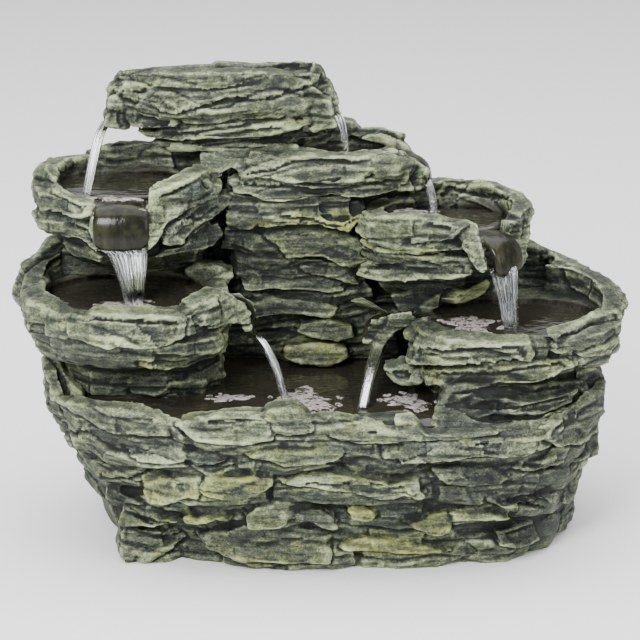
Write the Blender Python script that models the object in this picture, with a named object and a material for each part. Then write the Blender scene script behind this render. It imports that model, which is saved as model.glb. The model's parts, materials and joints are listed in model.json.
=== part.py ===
"""Tiered rock fountain: hollow cast-rock shells with water bowls, and the pump, hose,
lights and access door that they hold. Metres, +Z up, front towards -Y.

The origin is on the floor, under the middle of the base.
"""

import math
import random

import bpy
import bmesh
from mathutils import Matrix, Vector

# Fits and walls
GAP = 0.0003  # clearance between pieces that touch
SHELL_WALL = 0.008  # cast wall of the base and of the rear shell, behind the stones
BOWL_WALL = 0.008  # cast wall under and round each bowl, behind the stones
BOWL_FLOOR = 0.010  # cast floor of each bowl
ROUND_SIDES = 16  # facets of a small round piece

# Heights
FLOOR_PLATE = 0.010  # bottom of the base
DECK_Z = 0.200  # deck that the bowls and the rear shell stand on
RIM_Z = 0.210  # cast wall of the base round the deck
RIM_STONES_Z = 0.236  # no stone of the rim stands higher
LOW_BOWL_LEFT_Z = 0.332
LOW_BOWL_RIGHT_Z = 0.297
MID_BOWL_RIGHT_Z = 0.424
HIGH_BOWL_LEFT_Z = 0.464
BOWL_DEPTH = 0.028  # from the top of a casting down to the floor of its bowl
FACE_TOP_Z = 0.446  # top of the rock face, which carries the small bowl
HIGH_BOWL_RIGHT_Z = FACE_TOP_Z + 0.052
SHELL_TOP_Z = 0.508  # top of the rear shell, which carries the top stone
TOP_STONE_HEIGHT = 0.076
TOP_STONE_Z = SHELL_TOP_Z + TOP_STONE_HEIGHT
TOP_BOWL_FLOOR = TOP_STONE_Z - 0.022

# Plan
BASE_HALF_WIDTH = 0.364  # at the rim
BASE_HALF_DEPTH = 0.230
LOW_LEFT_X = -0.258  # middle of each bowl
LOW_RIGHT_X = 0.246
HIGH_LEFT_X = -0.262
MID_RIGHT_X = 0.158
BASE_BACK_Y = BASE_HALF_DEPTH - 0.008
SHELL_FRONT_Y = 0.100  # flat front of the rear shell, behind all the bowls
SHELL_DEPTH = BASE_BACK_Y - 0.002 - SHELL_FRONT_Y
PUMP_Y = BASE_BACK_Y - 0.085
RESERVOIR_Z = 0.188  # underside of the deck
SMALL_BOWL_LEFT_X = -0.104  # the small bowl meets the neck of the rock face here


class Wall:
    """The side of a casting: an oval outline that changes with height.

    levels are (z, centre x, centre y, half width, half depth), lowest first.
    """

    def __init__(self, levels, power=2.4):
        self.levels = levels
        self.power = power

    def oval(self, z):
        low = self.levels[0]
        for high in self.levels[1:]:
            if z <= high[0]:
                share = max(0.0, (z - low[0]) / (high[0] - low[0]))
                return [a + (b - a) * share for a, b in zip(low[1:], high[1:])]
            low = high
        return list(low[1:])

    def point(self, degrees, z, grow=0.0):
        """The point of the outline in this direction, moved outwards by grow."""
        cx, cy, rx, ry = self.oval(z)
        turn = math.radians(degrees)
        c, s = math.cos(turn), math.sin(turn)
        x = math.copysign(abs(c) ** (2 / self.power), c)
        y = math.copysign(abs(s) ** (2 / self.power), s)
        return Vector((cx + x * (rx + grow), cy + y * (ry + grow), z))


# Scene helpers

for old in list(bpy.data.objects):
    bpy.data.objects.remove(old)

parts = bpy.data.collections.new("rock_fountain")
cutters = bpy.data.collections.new("cutters")
bpy.context.scene.collection.children.link(parts)
bpy.context.scene.collection.children.link(cutters)


def material(name, colour, roughness, metallic=0.0):
    made = bpy.data.materials.new(name)
    made.use_nodes = True
    shader = made.node_tree.nodes["Principled BSDF"]
    shader.inputs["Base Color"].default_value = (*colour, 1.0)
    shader.inputs["Roughness"].default_value = roughness
    shader.inputs["Metallic"].default_value = metallic
    return made


ROCK = material("cast_rock", (0.20, 0.22, 0.16), 0.8)
DOOR_PLASTIC = material("door_plastic", (0.10, 0.11, 0.09), 0.6)
PUMP_PLASTIC = material("pump_plastic", (0.02, 0.02, 0.022), 0.4)
RUBBER = material("rubber", (0.015, 0.015, 0.015), 0.8)
HOSE = material("hose", (0.55, 0.60, 0.58), 0.3)
STEEL = material("steel", (0.62, 0.62, 0.60), 0.3, 1.0)
LENS = material("lens", (0.95, 0.90, 0.75), 0.1)


def add(name, bm, finish, collection=parts):
    """A new object that holds this bmesh, with its faces turned outwards."""
    bmesh.ops.recalc_face_normals(bm, faces=bm.faces)
    mesh = bpy.data.meshes.new(name)
    bm.to_mesh(mesh)
    bm.free()
    made = bpy.data.objects.new(name, mesh)
    collection.objects.link(made)
    if finish:
        mesh.materials.append(finish)
    if collection is cutters:
        made.hide_render = True
        made.display_type = "WIRE"
    return made


def join_rings(bm, rings):
    """Faces between neighbouring rings of vertices, and a cap at each end."""
    for low, high in zip(rings, rings[1:]):
        count = len(low)
        for i in range(count):
            j = (i + 1) % count
            bm.faces.new((low[i], low[j], high[j], high[i]))
    bm.faces.new(list(reversed(rings[0])))
    bm.faces.new(rings[-1])


def loft(rings):
    """A closed bmesh through rings of points."""
    bm = bmesh.new()
    join_rings(bm, [[bm.verts.new(p) for p in ring] for ring in rings])
    return bm


def block_mesh(low, high):
    bm = bmesh.new()
    bmesh.ops.create_cube(bm, size=1.0)
    low, high = Vector(low), Vector(high)
    place = Matrix.Translation((low + high) / 2) @ Matrix.Diagonal((*(high - low), 1))
    bmesh.ops.transform(bm, matrix=place, verts=bm.verts)
    return bm


def cutter_block(low, high):
    return add("cut_block", block_mesh(low, high), None, cutters)


def wall_mesh(wall, heights, inset=0.0, sides=24):
    """The body that fills the wall's outline at each of these heights."""
    turns = [360 * i / sides for i in range(sides)]
    return loft([[wall.point(t, z, -inset) for t in turns] for z in heights])


def cutter_wall(wall, heights, inset=0.0, sides=20):
    return add("cut_wall", wall_mesh(wall, heights, inset, sides), None, cutters)


def cutter_prism(outline, z_low, z_high):
    rings = [[Vector((x, y, z)) for x, y in outline] for z in (z_low, z_high)]
    return add("cut_prism", loft(rings), None, cutters)


def boolean(target, tool, operation):
    """EXACT leaves edges that touch where many rough ledges meet, so the solver is MANIFOLD."""
    step = target.modifiers.new(operation.lower(), "BOOLEAN")
    step.operation = operation
    step.solver = "MANIFOLD"
    step.object = tool


# Rock

# Each outer corner of a ledge's section: share of the reach, and share of the height
LEDGE_SECTION = ((0.84, 0.0), (1.0, 0.40), (0.62, 1.0))
LEDGE_EMBED = 0.008  # how far a ledge goes into the wall behind it
RIM_EMBED = 0.026  # how far a rim stone goes in, across the top of the wall
STATION_STEP = 0.050  # sections along a ledge
GROOVE = 0.006  # how far each ledge spreads, up and down, into the grooves next to it
LARGEST_POCKET = 2e-6  # cubic metres


def ledge_mesh(bm, wall, a0, a1, z0, z1, reach, rise=0.0, embed=LEDGE_EMBED, seed=0):
    """Adds a ledge of rock along the wall, from direction a0 to a1, standing out by reach.

    rise is how much higher the ledge lies at a1 than at a0.
    """
    rng = random.Random(seed * 7919 + int(a0 * 13) + int(z0 * 9973))
    ends = [wall.point(a, (z0 + z1) / 2) for a in (a0, (a0 + a1) / 2, a1)]
    length = (ends[1] - ends[0]).length + (ends[2] - ends[1]).length
    count = max(3, round(length / STATION_STEP) + 1)
    height = z1 - z0
    rings = []
    for i in range(count):
        share = i / (count - 1)
        at_end = i in (0, count - 1)
        out = reach * (rng.uniform(0.35, 0.6) if at_end else rng.uniform(0.85, 1.15))
        spread = (0.1, 0.3) if at_end else (-0.08, 0.12)
        low = z0 + rise * share + height * rng.uniform(*spread)
        high = z1 + rise * share - height * rng.uniform(*spread)
        angle = a0 + (a1 - a0) * share
        ring = [wall.point(angle, low - GROOVE, -embed)]
        for out_share, up_share in LEDGE_SECTION:
            z = low + (high - low) * up_share
            ring.append(wall.point(angle, z, out * out_share * rng.uniform(0.92, 1.08)))
        ring.append(wall.point(angle, high + GROOVE, -embed))
        rings.append([bm.verts.new(p) for p in ring])
    join_rings(bm, rings)


def courses(wall, heights, reach, seed, start=-180.0, stop=180.0, mean=0.12):
    """The ledges laid in courses round a wall: a list for each course. heights are the joints."""
    rng = random.Random(seed)
    rows = []
    for z0, z1 in zip(heights, heights[1:]):
        closed = stop - start >= 360
        angle = first = start + rng.uniform(0, 18) * closed
        last = first + (stop - start)
        _, _, rx, ry = wall.oval(z0)
        row = []
        while angle < last - 5:
            turn = math.degrees(mean * rng.uniform(0.6, 1.5) / ((rx + ry) / 2))
            upper = min(angle + turn, last)
            rise = rng.uniform(-0.2, 0.2) * (z1 - z0)
            out = reach * rng.uniform(0.5, 1.5)
            row.append((angle, upper, z0 - rise / 2 + 0.001, z1 - rise / 2 - 0.002, out, rise))
            angle = upper + rng.uniform(0.5, 1.5)
        rows.append(row)
    return rows


def tongue_mesh(centre, direction, path, width, thickness=0.010):
    """The smooth lip that water runs over: a bar along path, which is (distance, height) pairs."""
    turn = math.radians(direction)
    along = Vector((math.cos(turn), math.sin(turn), 0))
    across = Vector((-math.sin(turn), math.cos(turn), 0))
    rings = []
    for i, (distance, z) in enumerate(path):
        before, after = path[max(i - 1, 0)], path[min(i + 1, len(path) - 1)]
        slope = Vector((after[0] - before[0], after[1] - before[1])).normalized()
        top = Vector((centre[0], centre[1], z)) + along * distance
        down = (along * slope[1] - Vector((0, 0, slope[0]))) * thickness
        half = across * width / 2
        rings.append([top - half, top + half, top + half * 0.9 + down, top - half * 0.9 + down])
    return loft(rings)


def cut_channel(centre, direction, near, far, width, z_floor):
    """A straight notch through a rim, from near to far out of the centre, above z_floor."""
    turn = math.radians(direction)
    bm = block_mesh((near, -width / 2, z_floor), (far, width / 2, z_floor + 0.08))
    place = Matrix.Translation((centre[0], centre[1], 0)) @ Matrix.Rotation(turn, 4, "Z")
    bmesh.ops.transform(bm, matrix=place, verts=bm.verts)
    return add("cut_channel", bm, None, cutters)


def fill_pockets(casting):
    """Closes the small voids, and drops the chips, that ledges leave where their faces cross."""
    graph = bpy.context.evaluated_depsgraph_get()
    casting.data = bpy.data.meshes.new_from_object(casting.evaluated_get(graph))
    casting.modifiers.clear()
    bm = bmesh.new()
    bm.from_mesh(casting.data)
    bmesh.ops.triangulate(bm, faces=bm.faces)
    waiting = set(bm.faces)
    while waiting:
        island = set()
        edge = [waiting.pop()]
        while edge:
            face = edge.pop()
            island.add(face)
            for loop in face.loops:
                for other in loop.edge.link_faces:
                    if other in waiting:
                        waiting.remove(other)
                        edge.append(other)
        volume = 0.0
        for face in island:
            a, b, c = (v.co for v in face.verts)
            volume += a.dot(b.cross(c)) / 6
        if abs(volume) < LARGEST_POCKET:
            bmesh.ops.delete(bm, geom=list(island), context="FACES")
    bm.to_mesh(casting.data)
    bm.free()


def casting(name, wall, heights, cell, rows=(), stones=(), joins=(), cuts=(), sides=24):
    """A cast shell: a core that follows the wall, with its courses and stones, less its cuts.

    cell is the two corners of the block that it stays inside, and joins are more solids of it.
    """
    core = add(name, wall_mesh(wall, heights, 0.0, sides), ROCK)
    for parity in (0, 1):
        bm = bmesh.new()
        for number, row in enumerate(rows):
            if number % 2 == parity:
                for spec in row:
                    ledge_mesh(bm, wall, *spec, seed=number)
        if bm.verts:
            boolean(core, add(f"{name}_courses_{parity}", bm, None, cutters), "UNION")
        else:
            bm.free()
    for number, stone in enumerate(stones):
        bm = bmesh.new()
        ledge_mesh(bm, wall, *stone, seed=number + 50)
        boolean(core, add(f"{name}_stone_{number}", bm, None, cutters), "UNION")
    for piece in joins:
        boolean(core, piece, "UNION")
    boolean(core, cutter_block(*cell), "INTERSECT")
    for cut in cuts:
        boolean(core, cut, "DIFFERENCE")
    fill_pockets(core)
    return core


def solid(bm):
    return add("join", bm, None, cutters)


FAR = 0.6  # beyond the fountain on every side

# Openings that castings and fittings share
DOOR_FRAME_Y = SHELL_FRONT_Y + SHELL_DEPTH - 0.0055  # flat face round the door opening
DRAIN_FACE_Y = BASE_BACK_Y - 0.032  # flat face round the drain hole
FITTING_HOLE = 0.0095
RISER_TOP = Vector((-0.136, 0.118, 0))
HINGE_HEIGHTS = (0.262, 0.358)
BUTTON_X = 0.104
BUTTON_HEIGHTS = (0.276, 0.344)


def front_cell(floor, left=-FAR, right=FAR):
    """The cell of a casting that stands on this floor, in front of the rear shell."""
    return (left, -FAR, floor + GAP), (right, SHELL_FRONT_Y - GAP, FAR + 0.2)


def rod_mesh(start, end, radius, end_radius=None, sides=ROUND_SIDES):
    """A cylinder or cone between two points."""
    return tube_mesh([(start, radius), (end, radius if end_radius is None else end_radius)], sides)


def tube_mesh(profile, sides=ROUND_SIDES, closed=False):
    """A round body along a straight line: (point on the axis, radius) pairs.

    When closed, the last pair joins the first, which makes a ring round the axis.
    """
    profile = [(Vector(point), radius) for point, radius in profile]
    axis = max((b[0] - a[0] for a in profile for b in profile), key=lambda v: v.length)
    turn = axis.to_track_quat("Z", "Y")
    bm = bmesh.new()
    rings = []
    for point, radius in profile:
        ring = []
        for i in range(sides):
            angle = 2 * math.pi * i / sides
            spoke = turn @ Vector((math.cos(angle), math.sin(angle), 0))
            ring.append(bm.verts.new(point + spoke * radius))
        rings.append(ring)
    if closed:
        for low, high in zip(rings, [*rings[1:], rings[0]]):
            for i in range(sides):
                j = (i + 1) % sides
                bm.faces.new((low[i], low[j], high[j], high[i]))
    else:
        join_rings(bm, rings)
    return bm


def upright(x, y, profile, sides=ROUND_SIDES, closed=False):
    """A turned piece on a vertical axis, from (height, radius) pairs."""
    return tube_mesh([(Vector((x, y, z)), radius) for z, radius in profile], sides, closed)


def facing_back(x, z, profile, sides=ROUND_SIDES, closed=False):
    """A turned piece whose axis runs front to back, from (y, radius) pairs."""
    return tube_mesh([(Vector((x, y, z)), radius) for y, radius in profile], sides, closed)


# The base: a reservoir with a deck, a pool opening and a service opening

BASE_WALL = Wall([
    (-0.02, 0.022, -0.004, BASE_HALF_WIDTH - 0.078, BASE_HALF_DEPTH - 0.058),
    (0.03, 0.020, -0.004, BASE_HALF_WIDTH - 0.064, BASE_HALF_DEPTH - 0.046),
    (0.12, 0.007, -0.006, BASE_HALF_WIDTH - 0.027, BASE_HALF_DEPTH - 0.018),
    (RIM_Z, 0.000, -0.008, BASE_HALF_WIDTH, BASE_HALF_DEPTH),
], power=2.8)
BASE_COURSES = (-0.006, 0.056, 0.092, 0.130, 0.166)
BASE_FRONT = (-160, -18)  # directions between which each stone of the front has its own place
RIM_WALL = 0.012  # the rim round the deck

# Each stone of a course: from direction, to direction, low z, high z, reach, rise
FRONT_STONES = [
    [
        (-113, -89, -0.010, 0.064, 0.016, -0.004),
        (-88, -66, -0.010, 0.057, 0.012, 0.002),
        (-65, -42, -0.010, 0.054, 0.015, -0.002),
        (-41, -20, -0.010, 0.050, 0.010, 0.004),
        (-159, -128, -0.010, 0.056, 0.012, 0.006),
    ],
    [
        (-159, -143, 0.060, 0.094, 0.009, 0.0),
        (-142, -117, 0.066, 0.099, 0.015, -0.006),
        (-116, -103, 0.066, 0.094, 0.010, 0.0),
        (-102, -90, 0.064, 0.099, 0.017, 0.003),
        (-89, -76, 0.062, 0.098, 0.012, -0.003),
        (-75, -52, 0.060, 0.090, 0.009, 0.004),
        (-51, -20, 0.056, 0.092, 0.014, -0.003),
    ],
    [
        (-158, -129, 0.094, 0.132, 0.013, 0.004),
        (-127, -98, 0.098, 0.134, 0.016, -0.004),
        (-97, -75, 0.102, 0.142, 0.013, -0.006),
        (-74, -45, 0.094, 0.128, 0.017, 0.003),
        (-44, -20, 0.092, 0.130, 0.010, 0.0),
    ],
    [
        (-159, -148, 0.134, 0.168, 0.009, 0.0),
        (-147, -113, 0.140, 0.178, 0.015, 0.003),
        (-112, -103, 0.140, 0.172, 0.009, 0.0),
        (-102, -90, 0.144, 0.180, 0.016, 0.002),
        (-89, -78, 0.142, 0.178, 0.010, -0.004),
        (-76, -41, 0.128, 0.164, 0.017, 0.002),
        (-40, -20, 0.130, 0.166, 0.011, 0.002),
    ],
]
RIM_STONES = [
    (-196, -158, 0.166, 0.236, 0.014, -0.006),
    (-156, -112, 0.166, 0.222, 0.014, 0.0),
    (-110, -84, 0.168, 0.224, 0.012, -0.002),
    (-82, -62, 0.168, 0.224, 0.017, -0.004),
    (-60, -36, 0.160, 0.208, 0.014, -0.002),
    (-34, 2, 0.160, 0.210, 0.014, 0.008),
    (4, 40, 0.166, 0.224, 0.014, 0.0),
    (42, 88, 0.168, 0.226, 0.012, 0.0),
    (90, 138, 0.168, 0.228, 0.012, 0.0),
    (140, 161, 0.168, 0.230, 0.012, 0.002),
]
TOE_STONE = (-149, -129, -0.010, 0.050, 0.050, 0.0, 0.016)
TOE_NOTCH = ((-0.190, -0.40, -0.01), (-0.150, -0.174, 0.024))  # arch in the stones only

# The deck is open between the two pedestals, so the pool reaches down into the reservoir
POOL_OUTLINE = [
    (-0.262, -0.130), (-0.235, -0.186), (0.235, -0.186), (0.262, -0.130), (0.128, -0.116),
    (0.118, -0.020), (0.098, 0.048), (-0.126, 0.048), (-0.134, -0.020), (-0.140, -0.116),
]
SERVICE_OPENING = ((-0.070, PUMP_Y - 0.023, RESERVOIR_Z - 0.01), (0.070, PUMP_Y + 0.053, 0.3))
DRAIN_AT = Vector((0.110, 0.0, 0.030))
DRAIN_HOLE = 0.009


def base_rows():
    low, high = BASE_FRONT
    rest = courses(BASE_WALL, BASE_COURSES, 0.014, seed=3, start=high, stop=low + 360, mean=0.17)
    return [*(front + row for front, row in zip(FRONT_STONES, rest)), RIM_STONES]


def base_basin():
    return casting(
        "base_basin", BASE_WALL, (-0.01, 0.03, 0.12, RIM_Z),
        ((-FAR, -FAR, 0.0), (FAR, FAR, RIM_STONES_Z)),
        rows=base_rows(),
        stones=[TOE_STONE],
        joins=[solid(block_mesh((0.088, DRAIN_FACE_Y - 0.040, 0.012), (0.132, DRAIN_FACE_Y, 0.050)))],
        cuts=[
            cutter_block((0.086, DRAIN_FACE_Y, 0.008), (0.134, FAR, 0.054)),
            cutter_block(*TOE_NOTCH),
            cutter_block((-0.125, DOOR_FRAME_Y - 0.0195, RIM_Z + 0.002), (0.125, FAR, 0.3)),
            cutter_wall(BASE_WALL, (FLOOR_PLATE, 0.03, 0.12, RESERVOIR_Z), SHELL_WALL),
            cutter_wall(BASE_WALL, (DECK_Z, RIM_STONES_Z + 0.02), RIM_WALL),
            cutter_prism(POOL_OUTLINE, RESERVOIR_Z - 0.01, 0.3),
            cutter_block(*SERVICE_OPENING),
            solid(facing_back(
                DRAIN_AT.x, DRAIN_AT.z, ((DRAIN_FACE_Y - 0.07, DRAIN_HOLE), (FAR, DRAIN_HOLE)),
            )),
        ],
        sides=28,
    )


def base_rim_cell():
    """Where the rim of the base stands: the castings on the deck stay out of it."""
    cell = cutter_block((-FAR, -FAR, DECK_Z - 0.01), (FAR, FAR, RIM_STONES_Z + GAP))
    deck = cutter_wall(BASE_WALL, (DECK_Z - 0.02, RIM_STONES_Z + 0.02), RIM_WALL + GAP)
    boolean(cell, deck, "DIFFERENCE")
    return cell


def grown(wall, heights, reach):
    """Room for a neighbour and its stones, cut out of the rock face."""
    return cutter_wall(wall, heights, -reach)


# Left cascade

LOW_LEFT_LEVELS = (DECK_Z, DECK_Z + 0.045, DECK_Z + 0.062, LOW_BOWL_LEFT_Z - 0.036, LOW_BOWL_LEFT_Z)
LOW_LEFT_PLAN = (
    # centre x from the middle of the bowl, centre y, half width, half depth
    (0.018, -0.020, 0.100, 0.090),
    (0.016, -0.022, 0.104, 0.094),
    (0.008, -0.035, 0.125, 0.118),
    (0.002, -0.042, 0.134, 0.132),
    (0.000, -0.040, 0.130, 0.130),
)


def wall_over(levels, middle_x, plan):
    """The wall of a casting whose bowl is at middle_x."""
    return Wall([(z, middle_x + off, *rest) for z, (off, *rest) in zip(levels, plan)])


LOW_LEFT_WALL = wall_over(LOW_LEFT_LEVELS, LOW_LEFT_X, LOW_LEFT_PLAN)


def bowl_in(centre, floor, half_width, half_depth):
    """The bowl itself, which widens a little towards its rim."""
    return cutter_wall(Wall([
        (floor, *centre, half_width, half_depth),
        (floor + 0.08, *centre, half_width + 0.012, half_depth + 0.012),
    ]), (floor, floor + 0.08))


def left_lower_bowl():
    wall = LOW_LEFT_WALL
    top = LOW_BOWL_LEFT_Z
    centre = (LOW_LEFT_X, -0.055)
    floor = top - BOWL_DEPTH
    lip = ((0.095, top - 0.006), (0.145, top - 0.006), (0.162, top - 0.020), (0.166, top - 0.046))
    under = LOW_LEFT_LEVELS[1]
    return casting(
        "left_lower_bowl", wall, LOW_LEFT_LEVELS, front_cell(DECK_Z),
        rows=courses(wall, (DECK_Z + 0.003, DECK_Z + 0.040), 0.008, seed=21, start=-200, stop=20, mean=0.07),
        stones=[
            (-165, -128, under + 0.003, under + 0.025, 0.012),
            (-122, -20, under + 0.017, top - 0.036, 0.014),
            (-114, -52, top - 0.034, top + 0.004, 0.026, 0.0, RIM_EMBED),
            (-168, -116, top - 0.030, top + 0.016, 0.016, -0.008, RIM_EMBED),
            (-50, -18, top - 0.032, top + 0.010, 0.012, 0.006, RIM_EMBED),
            (146, 190, top - 0.020, top + 0.030, 0.014, -0.004, RIM_EMBED),
        ],
        joins=[solid(tongue_mesh(centre, -4, lip, 0.046))],
        cuts=[
            bowl_in(centre, floor, 0.100, 0.084),
            cutter_wall(wall, (0.1, *LOW_LEFT_LEVELS[1:3], floor - BOWL_FLOOR), BOWL_WALL),
            cut_channel(centre, -4, 0.05, 0.30, 0.040, top - 0.005),
            base_rim_cell(),
        ],
    )


HIGH_LEFT_LEVELS = (
    LOW_BOWL_LEFT_Z, LOW_BOWL_LEFT_Z + 0.053, HIGH_BOWL_LEFT_Z - 0.054, HIGH_BOWL_LEFT_Z,
)
HIGH_LEFT_PLAN = (
    (0.017, 0.060, 0.075, 0.030),
    (0.007, 0.036, 0.100, 0.056),
    (0.000, 0.010, 0.112, 0.088),
    (-0.002, 0.006, 0.114, 0.094),
)
HIGH_LEFT_WALL = wall_over(HIGH_LEFT_LEVELS, HIGH_LEFT_X, HIGH_LEFT_PLAN)


def left_upper_bowl():
    wall = HIGH_LEFT_WALL
    low, waist, belly, top = HIGH_LEFT_LEVELS
    floor = top - 0.030
    centre = (HIGH_LEFT_X, -0.002)
    hollow = wall_over((low + 0.017, waist, top), HIGH_LEFT_X, (
        (0.012, 0.080, 0.055, 0.034), (0.005, 0.060, 0.084, 0.064), (0.000, 0.045, 0.096, 0.084),
    ))
    lip = (
        (0.060, top - 0.007), (0.090, top - 0.004), (0.106, top - 0.011), (0.114, top - 0.028),
        (0.118, top - 0.062),
    )
    ledges = (low + 0.013, low + 0.040, top - 0.066)
    return casting(
        "left_upper_bowl", wall, HIGH_LEFT_LEVELS, front_cell(low),
        rows=courses(wall, ledges, 0.009, seed=31, start=-195, stop=15, mean=0.08),
        stones=[
            (-176, -111, belly - 0.010, top - 0.030, 0.012),
            (-70, -12, belly - 0.010, top - 0.034, 0.012, 0.010),
            (-180, -107, top - 0.028, top + 0.003, 0.014, 0.0, RIM_EMBED),
            (-71, -6, top - 0.032, top + 0.020, 0.020, 0.012, RIM_EMBED),
            (112, 178, top - 0.024, top + 0.020, 0.010, 0.0, RIM_EMBED),
            (50, 115, top - 0.020, top + 0.030, 0.010, 0.0, RIM_EMBED),
        ],
        joins=[solid(tongue_mesh(centre, -88, lip, 0.068))],
        cuts=[
            bowl_in(centre, floor, 0.084, 0.066),
            cutter_wall(hollow, (low + 0.017, waist, floor - BOWL_FLOOR)),
            cut_channel(centre, -88, 0.04, 0.16, 0.062, top - 0.004),
        ],
    )


# Right cascade

LOW_RIGHT_LEVELS = (DECK_Z, DECK_Z + 0.036, DECK_Z + 0.052, LOW_BOWL_RIGHT_Z)
LOW_RIGHT_PLAN = (
    (-0.011, -0.022, 0.110, 0.092),
    (-0.009, -0.026, 0.114, 0.096),
    (-0.003, -0.036, 0.128, 0.116),
    (0.002, -0.038, 0.136, 0.130),
)
LOW_RIGHT_WALL = wall_over(LOW_RIGHT_LEVELS, LOW_RIGHT_X, LOW_RIGHT_PLAN)


def right_lower_bowl():
    wall = LOW_RIGHT_WALL
    top = LOW_BOWL_RIGHT_Z
    centre = (LOW_RIGHT_X, -0.052)
    floor = top - BOWL_DEPTH
    lip = ((0.095, top - 0.007), (0.172, top - 0.007), (0.190, top - 0.017), (0.197, top - 0.039))
    return casting(
        "right_lower_bowl", wall, LOW_RIGHT_LEVELS, front_cell(DECK_Z),
        rows=courses(wall, (DECK_Z + 0.003, DECK_Z + 0.036), 0.008, seed=41, start=-200, stop=20, mean=0.07),
        stones=[
            (-165, -60, DECK_Z + 0.040, top - 0.029, 0.014),
            (-58, 20, DECK_Z + 0.046, top - 0.024, 0.012),
            (-170, -78, top - 0.026, top + 0.003, 0.018, 0.0, RIM_EMBED),
            (-74, -20, top - 0.023, top + 0.004, 0.016, 0.004, RIM_EMBED),
            (-18, 70, top - 0.016, top + 0.022, 0.012, 0.016, RIM_EMBED),
        ],
        joins=[solid(tongue_mesh(centre, 171, lip, 0.048, 0.014))],
        cuts=[
            bowl_in(centre, floor, 0.106, 0.084),
            cutter_wall(wall, (0.1, *LOW_RIGHT_LEVELS[1:3], floor - BOWL_FLOOR), BOWL_WALL),
            cut_channel(centre, 171, 0.05, 0.22, 0.042, top - 0.005),
            base_rim_cell(),
        ],
    )


MID_RIGHT_LEVELS = (
    LOW_BOWL_RIGHT_Z, LOW_BOWL_RIGHT_Z + 0.048, MID_BOWL_RIGHT_Z - 0.049, MID_BOWL_RIGHT_Z,
)
MID_RIGHT_PLAN = (
    (-0.003, 0.062, 0.072, 0.030),
    (-0.004, 0.040, 0.090, 0.052),
    (-0.002, 0.016, 0.104, 0.078),
    (0.000, 0.010, 0.106, 0.088),
)
MID_RIGHT_WALL = wall_over(MID_RIGHT_LEVELS, MID_RIGHT_X, MID_RIGHT_PLAN)


def right_middle_bowl():
    wall = MID_RIGHT_WALL
    low, waist, belly, top = MID_RIGHT_LEVELS
    centre = (MID_RIGHT_X, 0.002)
    floor = top - 0.030
    hollow = wall_over((low + 0.015, waist, top), MID_RIGHT_X, (
        (-0.003, 0.080, 0.050, 0.034), (-0.002, 0.062, 0.074, 0.060), (-0.001, 0.050, 0.086, 0.078),
    ))
    lip = (
        (0.055, top - 0.014), (0.092, top - 0.012), (0.108, top - 0.020), (0.116, top - 0.034),
        (0.120, top - 0.058),
    )
    ledges = (low + 0.009, low + 0.033, top - 0.072)
    return casting(
        "right_middle_bowl", wall, MID_RIGHT_LEVELS, front_cell(low),
        rows=courses(wall, ledges, 0.009, seed=51, start=-195, stop=15, mean=0.08),
        stones=[
            (-170, -70, belly - 0.021, top - 0.038, 0.018),
            (-66, 5, belly - 0.023, top - 0.044, 0.010),
            (-172, -68, top - 0.032, top + 0.008, 0.016, 0.0, RIM_EMBED),
            (-32, 24, top - 0.040, top + 0.012, 0.010, 0.0, RIM_EMBED),
            (22, 120, top - 0.020, top + 0.018, 0.010, 0.0, RIM_EMBED),
        ],
        joins=[solid(tongue_mesh(centre, -49, lip, 0.048))],
        cuts=[
            bowl_in(centre, floor, 0.078, 0.060),
            cutter_wall(hollow, (low + 0.015, waist, floor - BOWL_FLOOR)),
            cut_channel(centre, -49, 0.03, 0.16, 0.042, top - 0.012),
        ],
    )


SMALL_WALL = Wall([
    (FACE_TOP_Z, -0.004, 0.050, 0.104, 0.046),
    (HIGH_BOWL_RIGHT_Z - 0.025, 0.004, 0.046, 0.110, 0.052),
    (HIGH_BOWL_RIGHT_Z, 0.006, 0.048, 0.108, 0.050),
])


def right_small_bowl():
    wall = SMALL_WALL
    low, top = FACE_TOP_Z, HIGH_BOWL_RIGHT_Z
    floor = top - 0.022
    centre = (0.036, 0.052)
    lip = ((0.050, top - 0.009), (0.080, top - 0.008), (0.098, top - 0.022), (0.104, top - 0.044))
    return casting(
        "right_small_bowl", wall, (low, top - 0.025, top), front_cell(low, left=SMALL_BOWL_LEFT_X),
        stones=[
            (-176, -62, low + 0.002, top - 0.024, 0.014, -0.004),
            (-58, -14, low, top - 0.026, 0.018, 0.004),
            (-178, -84, top - 0.022, top + 0.003, 0.018, 0.0, RIM_EMBED),
            (-82, -20, top - 0.024, top + 0.003, 0.024, -0.010, RIM_EMBED),
            (24, 120, top - 0.014, top + 0.018, 0.008, 0.0, RIM_EMBED),
        ],
        joins=[solid(tongue_mesh(centre, -6, lip, 0.040))],
        cuts=[
            bowl_in(centre, floor, 0.060, 0.028),
            cut_channel(centre, -6, 0.03, 0.12, 0.034, top - 0.007),
            cutter_block((-FAR, -FAR, SHELL_TOP_Z - 0.001), (0.004, FAR, FAR)),
        ],
    )


# Rock face between the cascades

FACE_WALL = Wall([
    (DECK_Z, -0.022, 0.094, 0.130, 0.032),
    (0.300, -0.026, 0.088, 0.134, 0.050),
    (0.380, -0.034, 0.078, 0.136, 0.070),
    (FACE_TOP_Z, -0.030, 0.066, 0.120, 0.076),
], power=3.0)
FACE_COURSES = (0.204, 0.240, 0.280, 0.318, 0.360, 0.400, 0.440)


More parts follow.
